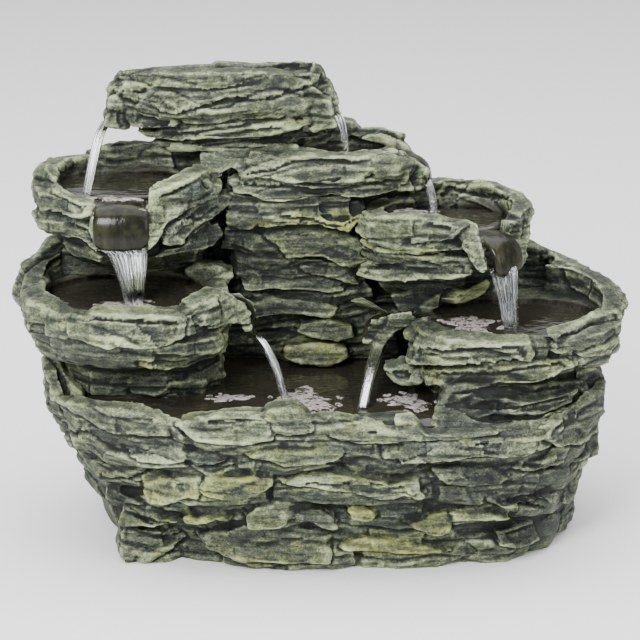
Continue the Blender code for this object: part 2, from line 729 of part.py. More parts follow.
def rock_face():
    """It is cast to fit between the bowls, and its neck carries the front of the top stone."""
    wall = FACE_WALL
    neck = Wall([
        (FACE_TOP_Z - 0.046, -0.130, 0.082, 0.040, 0.050),
        (FACE_TOP_Z - 0.006, -0.150, 0.080, 0.052, 0.060),
        (SHELL_TOP_Z, -0.162, 0.078, 0.056, 0.056),
    ])
    return casting(
        "rock_face", wall, (DECK_Z, 0.300, 0.380, FACE_TOP_Z), front_cell(DECK_Z),
        rows=courses(wall, FACE_COURSES, 0.014, seed=62, start=-178, stop=-2, mean=0.11),
        joins=[solid(wall_mesh(neck, (FACE_TOP_Z - 0.046, FACE_TOP_Z - 0.006, SHELL_TOP_Z), 0.0, 16))],
        cuts=[
            cutter_block((SMALL_BOWL_LEFT_X - GAP, -FAR, FACE_TOP_Z), (FAR, FAR, FAR)),
            cutter_wall(wall, (0.1, 0.300, 0.380, FACE_TOP_Z - BOWL_FLOOR), 0.014),
            grown(LOW_LEFT_WALL, (0.1, *LOW_LEFT_LEVELS[1:4], LOW_BOWL_LEFT_Z + 0.036), 0.018),
            grown(HIGH_LEFT_WALL, (LOW_BOWL_LEFT_Z - 0.005, *HIGH_LEFT_LEVELS[1:3], 0.500), 0.024),
            grown(LOW_RIGHT_WALL, (0.1, *LOW_RIGHT_LEVELS[1:3], LOW_BOWL_RIGHT_Z + 0.009), 0.022),
            grown(MID_RIGHT_WALL, (LOW_BOWL_RIGHT_Z - 0.006, *MID_RIGHT_LEVELS[1:3], 0.470), 0.022),
        ],
    )


def riser_hole():
    """The hole for the riser hose, through the top of the rear shell and into the top stone."""
    low, high = Vector((0, 0, SHELL_TOP_Z - 0.06)), Vector((0, 0, TOP_STONE_Z + 0.02))
    return rod_mesh(RISER_TOP + low, RISER_TOP + high, FITTING_HOLE)


# Rear shell: the hollow back of the rock, over the pump

SHELL_STEPS = (
    # low z, high z, left x, right x
    (DECK_Z, 0.300, -0.318, 0.325),
    (0.286, 0.400, -0.318, 0.228),
    (0.386, 0.462, -0.318, 0.118),
    (0.448, SHELL_TOP_Z, -0.176, 0.050),
)


def shell_wall(z0, z1, x0, x1):
    middle, half = (x0 + x1) / 2, (x1 - x0) / 2
    return Wall([
        (z0, middle, SHELL_FRONT_Y, half, SHELL_DEPTH - 0.012),
        (z1, middle, SHELL_FRONT_Y, half - 0.006, SHELL_DEPTH - 0.020),
    ], power=5)


def shell_courses(number, wall, z0, z1):
    """The ledges of one step of the shell, as two solids: every other course is in each."""
    count = max(1, round((z1 - z0) / 0.046))
    heights = [z0 + 0.006 + (z1 - z0 - 0.006) * i / count for i in range(count + 1)]
    rows = courses(wall, heights, 0.012, seed=70 + number, start=-8, stop=188, mean=0.17)
    made = []
    for parity in (0, 1):
        if rows[parity:]:
            bm = bmesh.new()
            for k, row in enumerate(rows[parity::2]):
                for spec in row:
                    ledge_mesh(bm, wall, *spec, seed=2 * k + parity + number)
            made.append(solid(bm))
    return made


def rear_shell():
    joins = [solid(block_mesh((-0.116, DOOR_FRAME_Y - 0.0345, 0.208), (0.116, DOOR_FRAME_Y, 0.408)))]
    cavity = []
    for number, (z0, z1, x0, x1) in enumerate(SHELL_STEPS):
        wall = shell_wall(z0, z1, x0, x1)
        if number:
            joins.append(solid(wall_mesh(wall, (z0, z1))))
        joins += shell_courses(number, wall, z0, z1)
        low = (x0 + 0.030, SHELL_FRONT_Y + SHELL_WALL, z0 - 0.05)
        high = (x1 - 0.030, SHELL_FRONT_Y + SHELL_DEPTH - 0.028, z1 - SHELL_WALL)
        cavity.append(cutter_block(low, high))
    hole = ((DOOR_FRAME_Y - 0.012, 0.0018), (FAR, 0.0018))
    button_holes = [solid(facing_back(BUTTON_X, z, hole, 12)) for z in BUTTON_HEIGHTS]
    return casting(
        "rear_shell", shell_wall(*SHELL_STEPS[0]), (DECK_Z, SHELL_STEPS[0][1]),
        ((-FAR, SHELL_FRONT_Y, DECK_Z + GAP), (FAR, FAR, SHELL_TOP_Z)), joins=joins,
        cuts=[
            *cavity,
            base_rim_cell(),
            cutter_block((-0.120, DOOR_FRAME_Y, 0.100), (0.120, FAR, 0.412)),
            cutter_block((-0.080, DOOR_FRAME_Y - 0.0645, 0.236), (0.080, FAR, 0.384)),
            *button_holes,
            solid(riser_hole()),
        ],
    )


# Top stone

TOP_LEVELS = (SHELL_TOP_Z, SHELL_TOP_Z + 0.027, SHELL_TOP_Z + 0.052, TOP_STONE_Z)
TOP_STONE_X = -0.137
TOP_PLAN = (
    (0.017, 0.086, 0.080, 0.056),
    (0.009, 0.080, 0.108, 0.064),
    (0.000, 0.075, 0.126, 0.070),
    (0.000, 0.075, 0.128, 0.066),
)


def top_stone():
    wall = wall_over(TOP_LEVELS, TOP_STONE_X, TOP_PLAN)
    low, top = SHELL_TOP_Z, TOP_STONE_Z
    centre = (TOP_STONE_X, 0.062)
    hollow = Wall([
        (low - 0.1, TOP_STONE_X + 0.011, 0.090, 0.062, 0.044),
        (TOP_BOWL_FLOOR, TOP_STONE_X + 0.001, 0.086, 0.096, 0.052),
    ])
    lip = ((0.078, top + 0.002), (0.122, top + 0.002), (0.143, top - 0.018), (0.152, top - 0.054))
    return casting(
        "top_stone", wall, TOP_LEVELS, ((-FAR, -FAR, low + GAP), (FAR, FAR, FAR + 0.2)),
        stones=[
            (-152, -30, top - 0.012, top + 0.020, 0.012, 0.004, 0.040),
            (-165, -12, low + 0.038, low + 0.066, 0.018, 0.006),
            (-150, -104, low + 0.016, low + 0.038, 0.014),
            (-100, -25, low + 0.018, low + 0.040, 0.014),
            (-150, -20, low, low + 0.018, 0.012),
            (20, 160, top - 0.018, top + 0.006, 0.008, 0.0, 0.02),
            (15, 165, low + 0.032, low + 0.058, 0.012),
            (15, 165, low + 0.004, low + 0.030, 0.012),
        ],
        joins=[
            solid(tongue_mesh(centre, 180, lip, 0.066, 0.034)),
            solid(tongue_mesh(centre, 0, lip, 0.066, 0.034)),
        ],
        cuts=[
            bowl_in((TOP_STONE_X, 0.084), TOP_BOWL_FLOOR, 0.090, 0.046),
            cutter_wall(hollow, (low - 0.1, TOP_BOWL_FLOOR - BOWL_FLOOR)),
            cut_channel(centre, 180, 0.05, 0.2, 0.034, top - 0.008),
            cut_channel(centre, 0, 0.05, 0.2, 0.034, top - 0.008),
            solid(riser_hole()),
        ],
    )


# Access door: a panel on two hinges, held shut by two turn buttons

DOOR_LOW = Vector((-0.092, DOOR_FRAME_Y + 0.0026, 0.224))
DOOR_HIGH = Vector((0.092, DOOR_FRAME_Y + 0.0086, 0.396))
SEAL_WIDTH = 0.007
HINGE_X = -0.0985
HINGE_Y = DOOR_HIGH.y + 0.0031
KNUCKLE = 0.0027
PIN = 0.0010
LEAF_HALF = 0.018
KNUCKLE_SPLIT = 0.006  # the door's knuckle fills this far each side of the middle
LEAF = 0.0015
VENTS = 4


def machined(name, solids, cuts, finish):
    """A piece made of the first solid, joined with the others, less its cuts."""
    made = add(name, solids[0], finish)
    for bm in solids[1:]:
        boolean(made, solid(bm), "UNION")
    for bm in cuts:
        boolean(made, solid(bm), "DIFFERENCE")
    return made


def box_mesh(low, high, bevel):
    bm = block_mesh(low, high)
    bmesh.ops.bevel(bm, geom=bm.edges, offset=bevel, segments=1, affect="EDGES")
    return bm


def door_panel():
    vents = []
    for i in range(VENTS):
        z = 0.350 - i * 0.012
        vents.append(block_mesh((-0.030, DOOR_LOW.y - 0.02, z), (0.030, DOOR_HIGH.y + 0.02, z + 0.005)))
    machined("access_door", [box_mesh(DOOR_LOW, DOOR_HIGH, 0.0015)], vents, DOOR_PLASTIC)


def door_gasket():
    y0, y1 = DOOR_FRAME_Y + GAP, DOOR_LOW.y - GAP
    low = Vector((DOOR_LOW.x + 0.003, y0, DOOR_LOW.z + 0.003))
    high = Vector((DOOR_HIGH.x - 0.003, y1, DOOR_HIGH.z - 0.003))
    inner = Vector((SEAL_WIDTH, -0.01, SEAL_WIDTH))
    machined("door_gasket", [block_mesh(low, high)], [block_mesh(low + inner, high - inner)], RUBBER)


def door_pull():
    y = DOOR_HIGH.y + GAP
    profile = (
        (y, 0.0070), (y + 0.004, 0.0050), (y + 0.009, 0.0055),
        (y + 0.012, 0.0090), (y + 0.016, 0.0085), (y + 0.018, 0.0060),
    )
    add("door_pull", facing_back(0.066, 0.310, profile), DOOR_PLASTIC)


def hinge(number, middle):
    def knuckle(low, high, radius=KNUCKLE):
        return rod_mesh((HINGE_X, HINGE_Y, middle + low), (HINGE_X, HINGE_Y, middle + high), radius)

    split = KNUCKLE_SPLIT + GAP
    face = DOOR_FRAME_Y + GAP
    plate = block_mesh((-0.1145, face, middle - LEAF_HALF), (HINGE_X, face + LEAF, middle + LEAF_HALF))
    frame_solids = [plate]
    for low, high in ((-LEAF_HALF, -split), (split, LEAF_HALF)):
        web_low = (HINGE_X - 0.0024, face, middle + low)
        frame_solids.append(block_mesh(web_low, (HINGE_X, HINGE_Y, middle + high)))
        frame_solids.append(knuckle(low, high))
    bore = knuckle(-0.03, 0.03, PIN + GAP)
    machined(f"hinge_frame_leaf_{number}", frame_solids, [bore], STEEL)

    y = DOOR_HIGH.y + GAP
    door_solids = [
        block_mesh((DOOR_LOW.x + 0.001, y, middle - LEAF_HALF), (-0.070, y + LEAF, middle + LEAF_HALF)),
        block_mesh((HINGE_X, y, middle - KNUCKLE_SPLIT), (-0.085, y + LEAF, middle + KNUCKLE_SPLIT)),
        knuckle(-KNUCKLE_SPLIT, KNUCKLE_SPLIT),
    ]
    machined(f"hinge_door_leaf_{number}", door_solids, [knuckle(-0.03, 0.03, PIN + GAP)], STEEL)

    top = middle + LEAF_HALF + GAP
    pin = ((middle - LEAF_HALF, PIN), (top, PIN), (top, 0.0022), (top + 0.0012, 0.0016))
    add(f"hinge_pin_{number}", upright(HINGE_X, HINGE_Y, pin, 12), STEEL)


def turn_button(number, z):
    """At rest it stands upright, clear of the door, which it holds when turned by a quarter."""
    face = DOOR_FRAME_Y + GAP
    over_door = DOOR_HIGH.y + 0.0009
    low = (BUTTON_X - 0.0055, over_door, z - 0.015)
    bar = box_mesh(low, (BUTTON_X + 0.0055, over_door + 0.003, z + 0.015), 0.001)
    boss = facing_back(BUTTON_X, z, ((face, 0.0045), (over_door + 0.001, 0.0045)))
    bore = facing_back(BUTTON_X, z, ((face - 0.015, 0.0018), (face + 0.025, 0.0018)), 12)
    machined(f"turn_button_{number}", [bar, boss], [bore], DOOR_PLASTIC)
    head = over_door + 0.003 + GAP
    screw = (
        (DOOR_FRAME_Y - 0.0115, 0.0010), (DOOR_FRAME_Y - 0.008, 0.0015), (head, 0.0015),
        (head, 0.0036), (head + 0.0016, 0.0026),
    )
    add(f"button_screw_{number}", facing_back(BUTTON_X, z, screw, 12), STEEL)


# Pump on the floor of the reservoir, under the service opening

PUMP_AXIS_Z = 0.046
BODY_FRONT_X = 0.008  # the motor housing ends here, and the pump cover begins
COVER_END_X = 0.030
WELL = 0.0125
CHAMBER = 0.0165
SHAFT = 0.0015
OUTLET_X = 0.016
CUP_PLACES = ((-0.036, -0.015), (-0.036, 0.015), (0.000, -0.015), (0.000, 0.015))
BLADES = 6


def on_axis(x0, x1, radius, end_radius=None, sides=ROUND_SIDES, y=0.0, z=0.0):
    """A rod along the pump's axis, or beside it by y and z."""
    start, end = ((x, PUMP_Y + y, PUMP_AXIS_Z + z) for x in (x0, x1))
    return rod_mesh(start, end, radius, end_radius, sides)


def round_the_axis(count, radius, x0, x1, size):
    """Rods beside the pump's axis, evenly round it."""
    rods = []
    for i in range(count):
        turn = 2 * math.pi * i / count
        rods.append(on_axis(x0, x1, size, sides=12, y=radius * math.cos(turn), z=radius * math.sin(turn)))
    return rods


def pump():
    body = box_mesh((-0.046, PUMP_Y - 0.024, 0.0203), (BODY_FRONT_X, PUMP_Y + 0.024, 0.070), 0.004)
    cuts = [on_axis(-0.032, 0.02, WELL), on_axis(-0.036, -0.030, SHAFT + GAP, sides=12)]
    machined("pump_body", [body], cuts, PUMP_PLASTIC)

    front = BODY_FRONT_X + GAP
    cover = box_mesh((front, PUMP_Y - 0.022, 0.024), (COVER_END_X, PUMP_Y + 0.022, 0.068), 0.003)
    cuts = [
        on_axis(0.0, 0.0235, CHAMBER),
        on_axis(0.020, 0.0270, SHAFT + GAP, sides=12),
        on_axis(0.0285, 0.04, 0.0026, sides=12),
        rod_mesh((OUTLET_X, PUMP_Y, PUMP_AXIS_Z), (OUTLET_X, PUMP_Y, 0.08), 0.0055),
        *round_the_axis(3, 0.009, 0.020, 0.04, 0.0035),
    ]
    machined("pump_cover", [cover], cuts, PUMP_PLASTIC)


def impeller():
    middle = Matrix.Translation((0, PUMP_Y, PUMP_AXIS_Z))
    blades = []
    for i in range(BLADES):
        bm = block_mesh((0.0112, -0.0008, 0.0), (0.0215, 0.0008, 0.0140))
        turn = Matrix.Rotation(2 * math.pi * i / BLADES, 4, "X")
        bmesh.ops.transform(bm, matrix=middle @ turn, verts=bm.verts)
        blades.append(bm)
    profile = (
        (-0.0305, 0.0110), (0.0095, 0.0110), (0.0095, 0.0145),
        (0.0115, 0.0145), (0.0115, 0.0040), (0.0218, 0.0036),
    )
    rotor = tube_mesh([(Vector((x, PUMP_Y, PUMP_AXIS_Z)), r) for x, r in profile])
    machined("impeller", [rotor, *blades], [on_axis(-0.04, 0.03, SHAFT + GAP, sides=12)], PUMP_PLASTIC)
    add("impeller_shaft", on_axis(-0.0357, 0.0267, SHAFT, sides=12), STEEL)


def flow_dial():
    face = COVER_END_X + GAP
    disc = on_axis(face, face + 0.004, 0.0140)
    pivot = on_axis(0.0288, face + 0.001, 0.0020, sides=12)
    low = (face + 0.003, PUMP_Y - 0.0015, PUMP_AXIS_Z - 0.012)
    grip = block_mesh(low, (face + 0.008, PUMP_Y + 0.0015, PUMP_AXIS_Z + 0.012))
    holes = round_the_axis(3, 0.009, 0.02, 0.04, 0.0032)
    machined("flow_dial", [disc, pivot, grip], holes, PUMP_PLASTIC)


def pump_small_parts():
    top = 0.068 + GAP
    spigot = (
        (0.062, 0.0050), (top, 0.0050), (top, 0.0075), (top + 0.003, 0.0075), (top + 0.003, 0.0056),
        (0.092, 0.0052), (0.092, 0.0038), (0.062, 0.0038),
    )
    add("outlet_spigot", upright(OUTLET_X, PUMP_Y, spigot, closed=True), PUMP_PLASTIC)
    add("pump_gland", on_axis(-0.0463, -0.058, 0.0055, 0.0036, z=0.012), RUBBER)
    floor = FLOOR_PLATE + GAP
    cup = ((floor, 0.0090), (floor + 0.0012, 0.0088), (floor + 0.0055, 0.0045), (0.0200, 0.0036))
    for number, (x, y) in enumerate(CUP_PLACES, 1):
        add(f"suction_cup_{number}", upright(x, PUMP_Y + y, cup, 14), RUBBER)


# Riser hose from the pump to the top stone

HOSE_OUTER = 0.0080
HOSE_INNER = 0.0061
HOSE_END = TOP_BOWL_FLOOR - 0.0255  # round the barb of the top fitting
FITTING_SHOULDER = HOSE_END + 0.002
FITTING_TIP = HOSE_END - 0.0125
HOSE_ROUTE = (
    # up the service opening, then across the hollow shell
    (OUTLET_X, PUMP_Y, 0.074), (OUTLET_X, PUMP_Y, 0.105), (OUTLET_X, PUMP_Y, 0.160), (0.014, 0.140, 0.215),
    (-0.004, 0.145, 0.272), (-0.045, 0.146, 0.330), (-0.090, 0.138, 0.385), (-0.120, 0.127, 0.435),
    (-0.134, 0.119, SHELL_TOP_Z - 0.028), (*RISER_TOP.xy, SHELL_TOP_Z), (*RISER_TOP.xy, HOSE_END),
)
HOSE_SIDES = 12


def riser_hose():
    points = [Vector(p) for p in HOSE_ROUTE]
    bm = bmesh.new()
    inside, outside = [], []
    for i, point in enumerate(points):
        along = (points[min(i + 1, len(points) - 1)] - points[max(i - 1, 0)]).normalized()
        side = Vector((0, 1, 0)).cross(along).normalized()
        up = along.cross(side)
        for rings, radius in ((inside, HOSE_INNER), (outside, HOSE_OUTER)):
            ring = []
            for k in range(HOSE_SIDES):
                turn = 2 * math.pi * k / HOSE_SIDES
                ring.append(bm.verts.new(point + (side * math.cos(turn) + up * math.sin(turn)) * radius))
            rings.append(ring)
    loop = [*outside, *reversed(inside)]
    for low, high in zip(loop, [*loop[1:], loop[0]]):
        for i in range(HOSE_SIDES):
            j = (i + 1) % HOSE_SIDES
            bm.faces.new((low[i], low[j], high[j], high[i]))
    add("riser_hose", bm, HOSE)


def hose_clamp(number, x, y, z):
    inner, outer = HOSE_OUTER + GAP, HOSE_OUTER + 0.0013
    profile = ((z, inner), (z, outer), (z + 0.007, outer), (z + 0.007, inner))
    band = upright(x, y, profile, 24, closed=True)
    housing = box_mesh((x - 0.0130, y - 0.004, z), (x - 0.0088, y + 0.004, z + 0.007), 0.001)
    machined(f"hose_clamp_{number}", [band, housing], [], STEEL)


def top_fitting():
    x, y = RISER_TOP.xy
    floor = TOP_BOWL_FLOOR
    under, over = floor + GAP, floor + 0.0018
    ring = ((under, 0.0087), (under, 0.0110), (over, 0.0110), (over, 0.0087))
    add("fitting_gasket", upright(x, y, ring, closed=True), RUBBER)
    flange = over + GAP
    top = flange + 0.003
    fitting = (
        (top, 0.0108), (flange, 0.0110), (flange, 0.0082), (FITTING_SHOULDER, 0.0082),
        (FITTING_SHOULDER, 0.0054), (FITTING_TIP, 0.0052), (FITTING_TIP, 0.0038), (top, 0.0038),
    )
    add("top_fitting", upright(x, y, fitting, closed=True), PUMP_PLASTIC)
    nut_top = floor - BOWL_FLOOR - GAP
    nut = upright(x, y, ((nut_top - 0.007, 0.0135), (nut_top, 0.0135)), 6)
    bore = upright(x, y, ((nut_top - 0.02, 0.0082 + GAP), (nut_top + 0.02, 0.0082 + GAP)))
    machined("fitting_nut", [nut], [bore], PUMP_PLASTIC)


# Lamp under the water of the left upper bowl, behind its lip

LAMP_AT = Vector((-0.244, -0.040, HIGH_BOWL_LEFT_Z - 0.030))


def lamp():
    x, y, floor = LAMP_AT
    base = floor + GAP
    housing = (
        (base, 0.0120), (base + 0.002, 0.0130), (base + 0.010, 0.0120), (base + 0.010, 0.0095),
        (base + 0.004, 0.0095),
    )
    add("lamp_housing", upright(x, y, housing), STEEL)
    seat = base + 0.004 + GAP
    lens = ((seat, 0.0088), (base + 0.0105, 0.0088), (base + 0.0125, 0.0060), (base + 0.0132, 0.0022))
    add("lamp_lens", upright(x, y, lens), LENS)


# Drain

def drain():
    x, z = DRAIN_AT.x, DRAIN_AT.z
    face = DRAIN_FACE_Y
    head = face + 0.0020
    ring = ((face + GAP, 0.0092), (face + GAP, 0.0128), (head, 0.0128), (head, 0.0092))
    add("drain_gasket", facing_back(x, z, ring, closed=True), RUBBER)
    head += GAP
    plug = (
        (face - 0.016, 0.0078), (face - 0.014, 0.0086), (head, 0.0086), (head, 0.0135),
        (head + 0.005, 0.0130),
    )
    grip = box_mesh((x - 0.010, head + 0.004, z - 0.002), (x + 0.010, head + 0.011, z + 0.002), 0.0006)
    machined("drain_plug", [facing_back(x, z, plug), grip], [], PUMP_PLASTIC)


def main():
    base_basin()
    left_lower_bowl()
    left_upper_bowl()
    right_lower_bowl()
    right_middle_bowl()
    right_small_bowl()
    rock_face()
    rear_shell()
    top_stone()
    door_panel()
    door_gasket()
    door_pull()
    for number, z in enumerate(HINGE_HEIGHTS, 1):
        hinge(number, z)
    for number, z in enumerate(BUTTON_HEIGHTS, 1):
        turn_button(number, z)
    pump()
    impeller()
    flow_dial()
    pump_small_parts()
    riser_hose()
    hose_clamp(1, OUTLET_X, PUMP_Y, 0.080)
    hose_clamp(2, RISER_TOP.x, RISER_TOP.y, HOSE_END - 0.0095)
    top_fitting()
    lamp()
    drain()


main()
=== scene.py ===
"""The look of the rock fountain: weathered cast rock, wet bowls and lips, falling water and foam.

Metres, +Z up, front towards -Y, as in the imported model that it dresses.
"""

import json
import math
import random

import bmesh
import bpy
import numpy as np
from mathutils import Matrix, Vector
from mathutils.bvhtree import BVHTree


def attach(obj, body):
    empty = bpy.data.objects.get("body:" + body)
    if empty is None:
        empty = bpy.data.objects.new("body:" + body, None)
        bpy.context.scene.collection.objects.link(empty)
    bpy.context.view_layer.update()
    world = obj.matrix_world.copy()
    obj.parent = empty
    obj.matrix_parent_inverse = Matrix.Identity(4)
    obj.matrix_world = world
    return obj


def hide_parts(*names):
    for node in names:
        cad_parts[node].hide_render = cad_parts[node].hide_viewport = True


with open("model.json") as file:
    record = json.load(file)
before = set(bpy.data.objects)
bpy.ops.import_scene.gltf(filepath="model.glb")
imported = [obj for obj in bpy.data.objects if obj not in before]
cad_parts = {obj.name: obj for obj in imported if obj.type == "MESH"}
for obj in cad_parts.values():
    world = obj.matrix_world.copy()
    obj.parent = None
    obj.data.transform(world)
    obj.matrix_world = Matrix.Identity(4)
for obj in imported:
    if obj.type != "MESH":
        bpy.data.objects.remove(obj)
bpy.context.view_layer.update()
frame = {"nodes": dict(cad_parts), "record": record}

# Camera: where the photograph was taken from
LOOK_AT = Vector((-0.0066, 0.0, 0.276))
DISTANCE = 3.6
ELEVATION = math.radians(17)
PICTURE = 640
FOCAL_PIXELS = 757 * DISTANCE
SENSOR = 36.0

FORWARD = Vector((0, math.cos(ELEVATION), -math.sin(ELEVATION)))
UPWARD = Vector((0, math.sin(ELEVATION), math.cos(ELEVATION)))
EYE = LOOK_AT - FORWARD * DISTANCE


def sight_line(u, v):
    """The direction from the camera through a pixel of the photograph."""
    right = (u - PICTURE / 2) / FOCAL_PIXELS
    up = (PICTURE / 2 - v) / FOCAL_PIXELS
    return FORWARD + Vector((right, 0, 0)) + UPWARD * up


def at_depth(u, v, y):
    """The point seen at this pixel whose distance back is y."""
    line = sight_line(u, v)
    return EYE + line * ((y - EYE.y) / line.y)


def at_level(u, v, z):
    """The point seen at this pixel at height z."""
    line = sight_line(u, v)
    return EYE + line * ((z - EYE.z) / line.z)


# Water levels, a little above the channel floor of each bowl's lip
POOL_LEVEL = 0.2035
LOW_LEFT_LEVEL = 0.3285
HIGH_LEFT_LEVEL = 0.4615
LOW_RIGHT_LEVEL = 0.2940
MID_RIGHT_LEVEL = 0.4140
SMALL_LEVEL = 0.4930
TOP_LEVEL = 0.5780

# Bowls, as the castings have them: centre x, centre y, half width, half depth, floor, water level
BOWLS = {
    "left_lower_bowl": (-0.258, -0.055, 0.100, 0.084, 0.304, LOW_LEFT_LEVEL),
    "left_upper_bowl": (-0.262, -0.002, 0.084, 0.066, 0.434, HIGH_LEFT_LEVEL),
    "right_lower_bowl": (0.246, -0.052, 0.106, 0.084, 0.269, LOW_RIGHT_LEVEL),
    "right_middle_bowl": (0.158, 0.002, 0.078, 0.060, 0.394, MID_RIGHT_LEVEL),
    "right_small_bowl": (0.036, 0.052, 0.060, 0.028, 0.476, SMALL_LEVEL),
    "top_stone": (-0.137, 0.084, 0.090, 0.046, 0.562, TOP_LEVEL),
}
BOWL_POWER = 2.4
BASE_RIM = (0.0, -0.008, 0.352, 0.218)  # inside the rim of the base: centre x, y, half sizes
BASE_POWER = 2.8

# Lips: direction from the bowl's centre, (distance, height) along the flow, half width, and how far
# the sides curl in
LIPS = {
    "left_upper_bowl": (-88, (
        (0.056, 0.4595), (0.076, 0.4620), (0.098, 0.4610), (0.112, 0.4550), (0.1205, 0.4440),
        (0.1242, 0.4240), (0.1240, 0.4020),
    ), 0.036, 0.007),
    "right_middle_bowl": (-49, (
        (0.050, 0.4125), (0.080, 0.4145), (0.106, 0.4110), (0.120, 0.3980), (0.1260, 0.3800),
        (0.1262, 0.3600),
    ), 0.025, 0.007),
    "left_lower_bowl": (-4, (
        (0.100, 0.3270), (0.145, 0.3275), (0.160, 0.3200), (0.1685, 0.3060), (0.1700, 0.2860),
    ), 0.019, 0.006),
    "right_lower_bowl": (171, (
        (0.100, 0.2925), (0.172, 0.2920), (0.188, 0.2870), (0.1985, 0.2740), (0.2000, 0.2580),
    ), 0.020, 0.006),
    "right_small_bowl": (-6, (
        (0.050, 0.4905), (0.080, 0.4920), (0.096, 0.4840), (0.104, 0.4700), (0.1065, 0.4540),
    ), 0.016, 0.005),
}


def oval_reach(points, centre_x, centre_y, half_x, half_y, power=BOWL_POWER):
    """How far out each point lies: 0 at the centre of the oval, 1 on its outline."""
    across = np.abs((points[:, 0] - centre_x) / half_x)
    along = np.abs((points[:, 1] - centre_y) / half_y)
    return (across**power + along**power) ** (1 / power)


# Noise

def hashed(i, j, k, seed):
    """A repeatable number from 0 to 1 for each cell of a lattice."""
    n = (i * 73856093) ^ (j * 19349663) ^ (k * 83492791) ^ (seed * 668265263)
    n = (n * 1103515245 + 12345) & 0x7FFFFFFF
    n = ((n >> 15) ^ n) * 74207281 & 0x7FFFFFFF
    return ((n >> 13) ^ n) / 0x7FFFFFFF


def smooth_noise(points, size, seed):
    """Smooth noise from -1 to 1, whose features are about this size."""
    scaled = points / size
    cell = np.floor(scaled).astype(np.int64)
    share = scaled - cell
    share = share * share * (3 - 2 * share)
    total = np.zeros(len(points))
    for corner in range(8):
        step = np.array((corner & 1, corner >> 1 & 1, corner >> 2))
        weight = np.prod(np.where(step, share, 1 - share), axis=1)
        i, j, k = (cell + step).T
        total += weight * hashed(i, j, k, seed)
    return 2 * total - 1


BEND = 1.1  # how far a bed wanders up and down, as a share of its thickness
JOINT_WIDTH = 0.15  # on each side, as a share of the bed
CRACK_WIDTH = 0.05  # as a share of the plate's length
CRACK = 0.5  # the depth of a crack between plates, as a share of the joint's


def plates(points, thickness, length, seed):
    """Rock split into beds and long plates.

    Returns each point's plate as a number from 0 to 1, and how deep it lies in the joint that
    separates its bed from the next, from 0 on the plate to 1 in the joint.
    """
    bent = smooth_noise(points * (1, 1, 0.4), 0.16, seed) + 0.6 * smooth_noise(points, 0.07, seed + 1)
    level = points[:, 2] / thickness + BEND * bent
    bed = np.floor(level).astype(np.int64)
    share = level - bed
    joint = 1 - np.clip(np.minimum(share, 1 - share) / JOINT_WIDTH, 0, 1)
    joint *= np.clip(0.9 + 1.1 * smooth_noise(points, 0.05, seed + 8), 0.15, 1)
    ragged = 0.3 * np.stack([smooth_noise(points, length / 3, seed + 2 + axis) for axis in (0, 1)], axis=1)
    plan = points[:, :2] / length + ragged + hashed(bed, bed * 3, bed * 7, seed)[:, None] * 17
    cell = np.floor(plan).astype(np.int64)
    nearest = np.full(len(points), 9.0)
    second = np.full(len(points), 9.0)
    plate = np.zeros(len(points))
    for di in (-1, 0, 1):
        for dj in (-1, 0, 1):
            i, j = cell[:, 0] + di, cell[:, 1] + dj
            away_x = i + hashed(i, j, bed, seed + 4) - plan[:, 0]
            away_y = j + hashed(i, j, bed, seed + 5) - plan[:, 1]
            away = away_x**2 + away_y**2
            closer = away < nearest
            second = np.where(closer, nearest, np.minimum(second, away))
            plate = np.where(closer, hashed(i, j, bed, seed + 6), plate)
            nearest = np.where(closer, away, nearest)
    crack = 1 - np.clip((np.sqrt(second) - np.sqrt(nearest)) / CRACK_WIDTH, 0, 1)
    return plate, np.maximum(joint, CRACK * crack)


def chips(points, size, height, seed):
    """Hollows as where stone has chipped off, this long and this high, with sharp ridges between them.

    Returns 0 in the middle of a hollow and up to 1 on a ridge.
    """
    scaled = points / (size, size, height)
    cell = np.floor(scaled).astype(np.int64)
    nearest = np.ones(len(points))
    for corner in np.ndindex(3, 3, 3):
        i, j, k = (cell + corner - 1).T
        away = np.zeros(len(points))
        for axis, place in enumerate((i, j, k)):
            away += (place + hashed(i, j, k, seed + axis) - scaled[:, axis]) ** 2
        nearest = np.minimum(nearest, away)
    return nearest


# Rock shaping

VOXEL = 0.0028  # the detail that every casting is remade at
MOST_FACES = 190_000  # triangles in one casting


class Skin:
    """The surface of a casting as arrays, while it is shaped."""

    def __init__(self, mesh):
        self.mesh = mesh
        self.points = np.empty(len(mesh.vertices) * 3)
        mesh.vertices.foreach_get("co", self.points)
        self.points = self.points.reshape(-1, 3)
        self.edges = np.empty(len(mesh.edges) * 2, np.int64)
        mesh.edges.foreach_get("vertices", self.edges)
        self.edges = self.edges.reshape(-1, 2)
        self.valence = np.bincount(self.edges.ravel(), minlength=len(self.points))

    def normals(self):
        self.mesh.vertices.foreach_set("co", self.points.ravel())
        self.mesh.update()
        found = np.empty(len(self.points) * 3)
        self.mesh.vertices.foreach_get("normal", found)
        return found.reshape(-1, 3)

    def relaxed(self, values, rounds, share=0.5):
        """values spread over the surface: each round moves every point towards its neighbours."""
        values = values.copy()
        a, b = self.edges.T
        columns = values.reshape(len(values), -1)
        for _ in range(rounds):
            for column in columns.T:
                total = np.bincount(a, column[b], len(column)) + np.bincount(b, column[a], len(column))
                column += share * (total / self.valence - column)
        return columns.reshape(values.shape)

    def store(self, name, values):
        attribute = self.mesh.attributes.new(name, "FLOAT", "POINT")
        attribute.data.foreach_set("value", values.astype(np.float32))


def evaluated_mesh(made):
    """The object's mesh with its modifiers applied."""
    graph = bpy.context.evaluated_depsgraph_get()
    return bpy.data.meshes.new_from_object(made.evaluated_get(graph))


def show(name, mesh, materials, body="fountain"):
    """A new piece of the fountain, which moves with that body."""
    made = bpy.data.objects.new(name, mesh)
    bpy.context.scene.collection.objects.link(made)
    mesh.materials.clear()
    for material in materials:
        mesh.materials.append(material)
    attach(made, body)
    return made


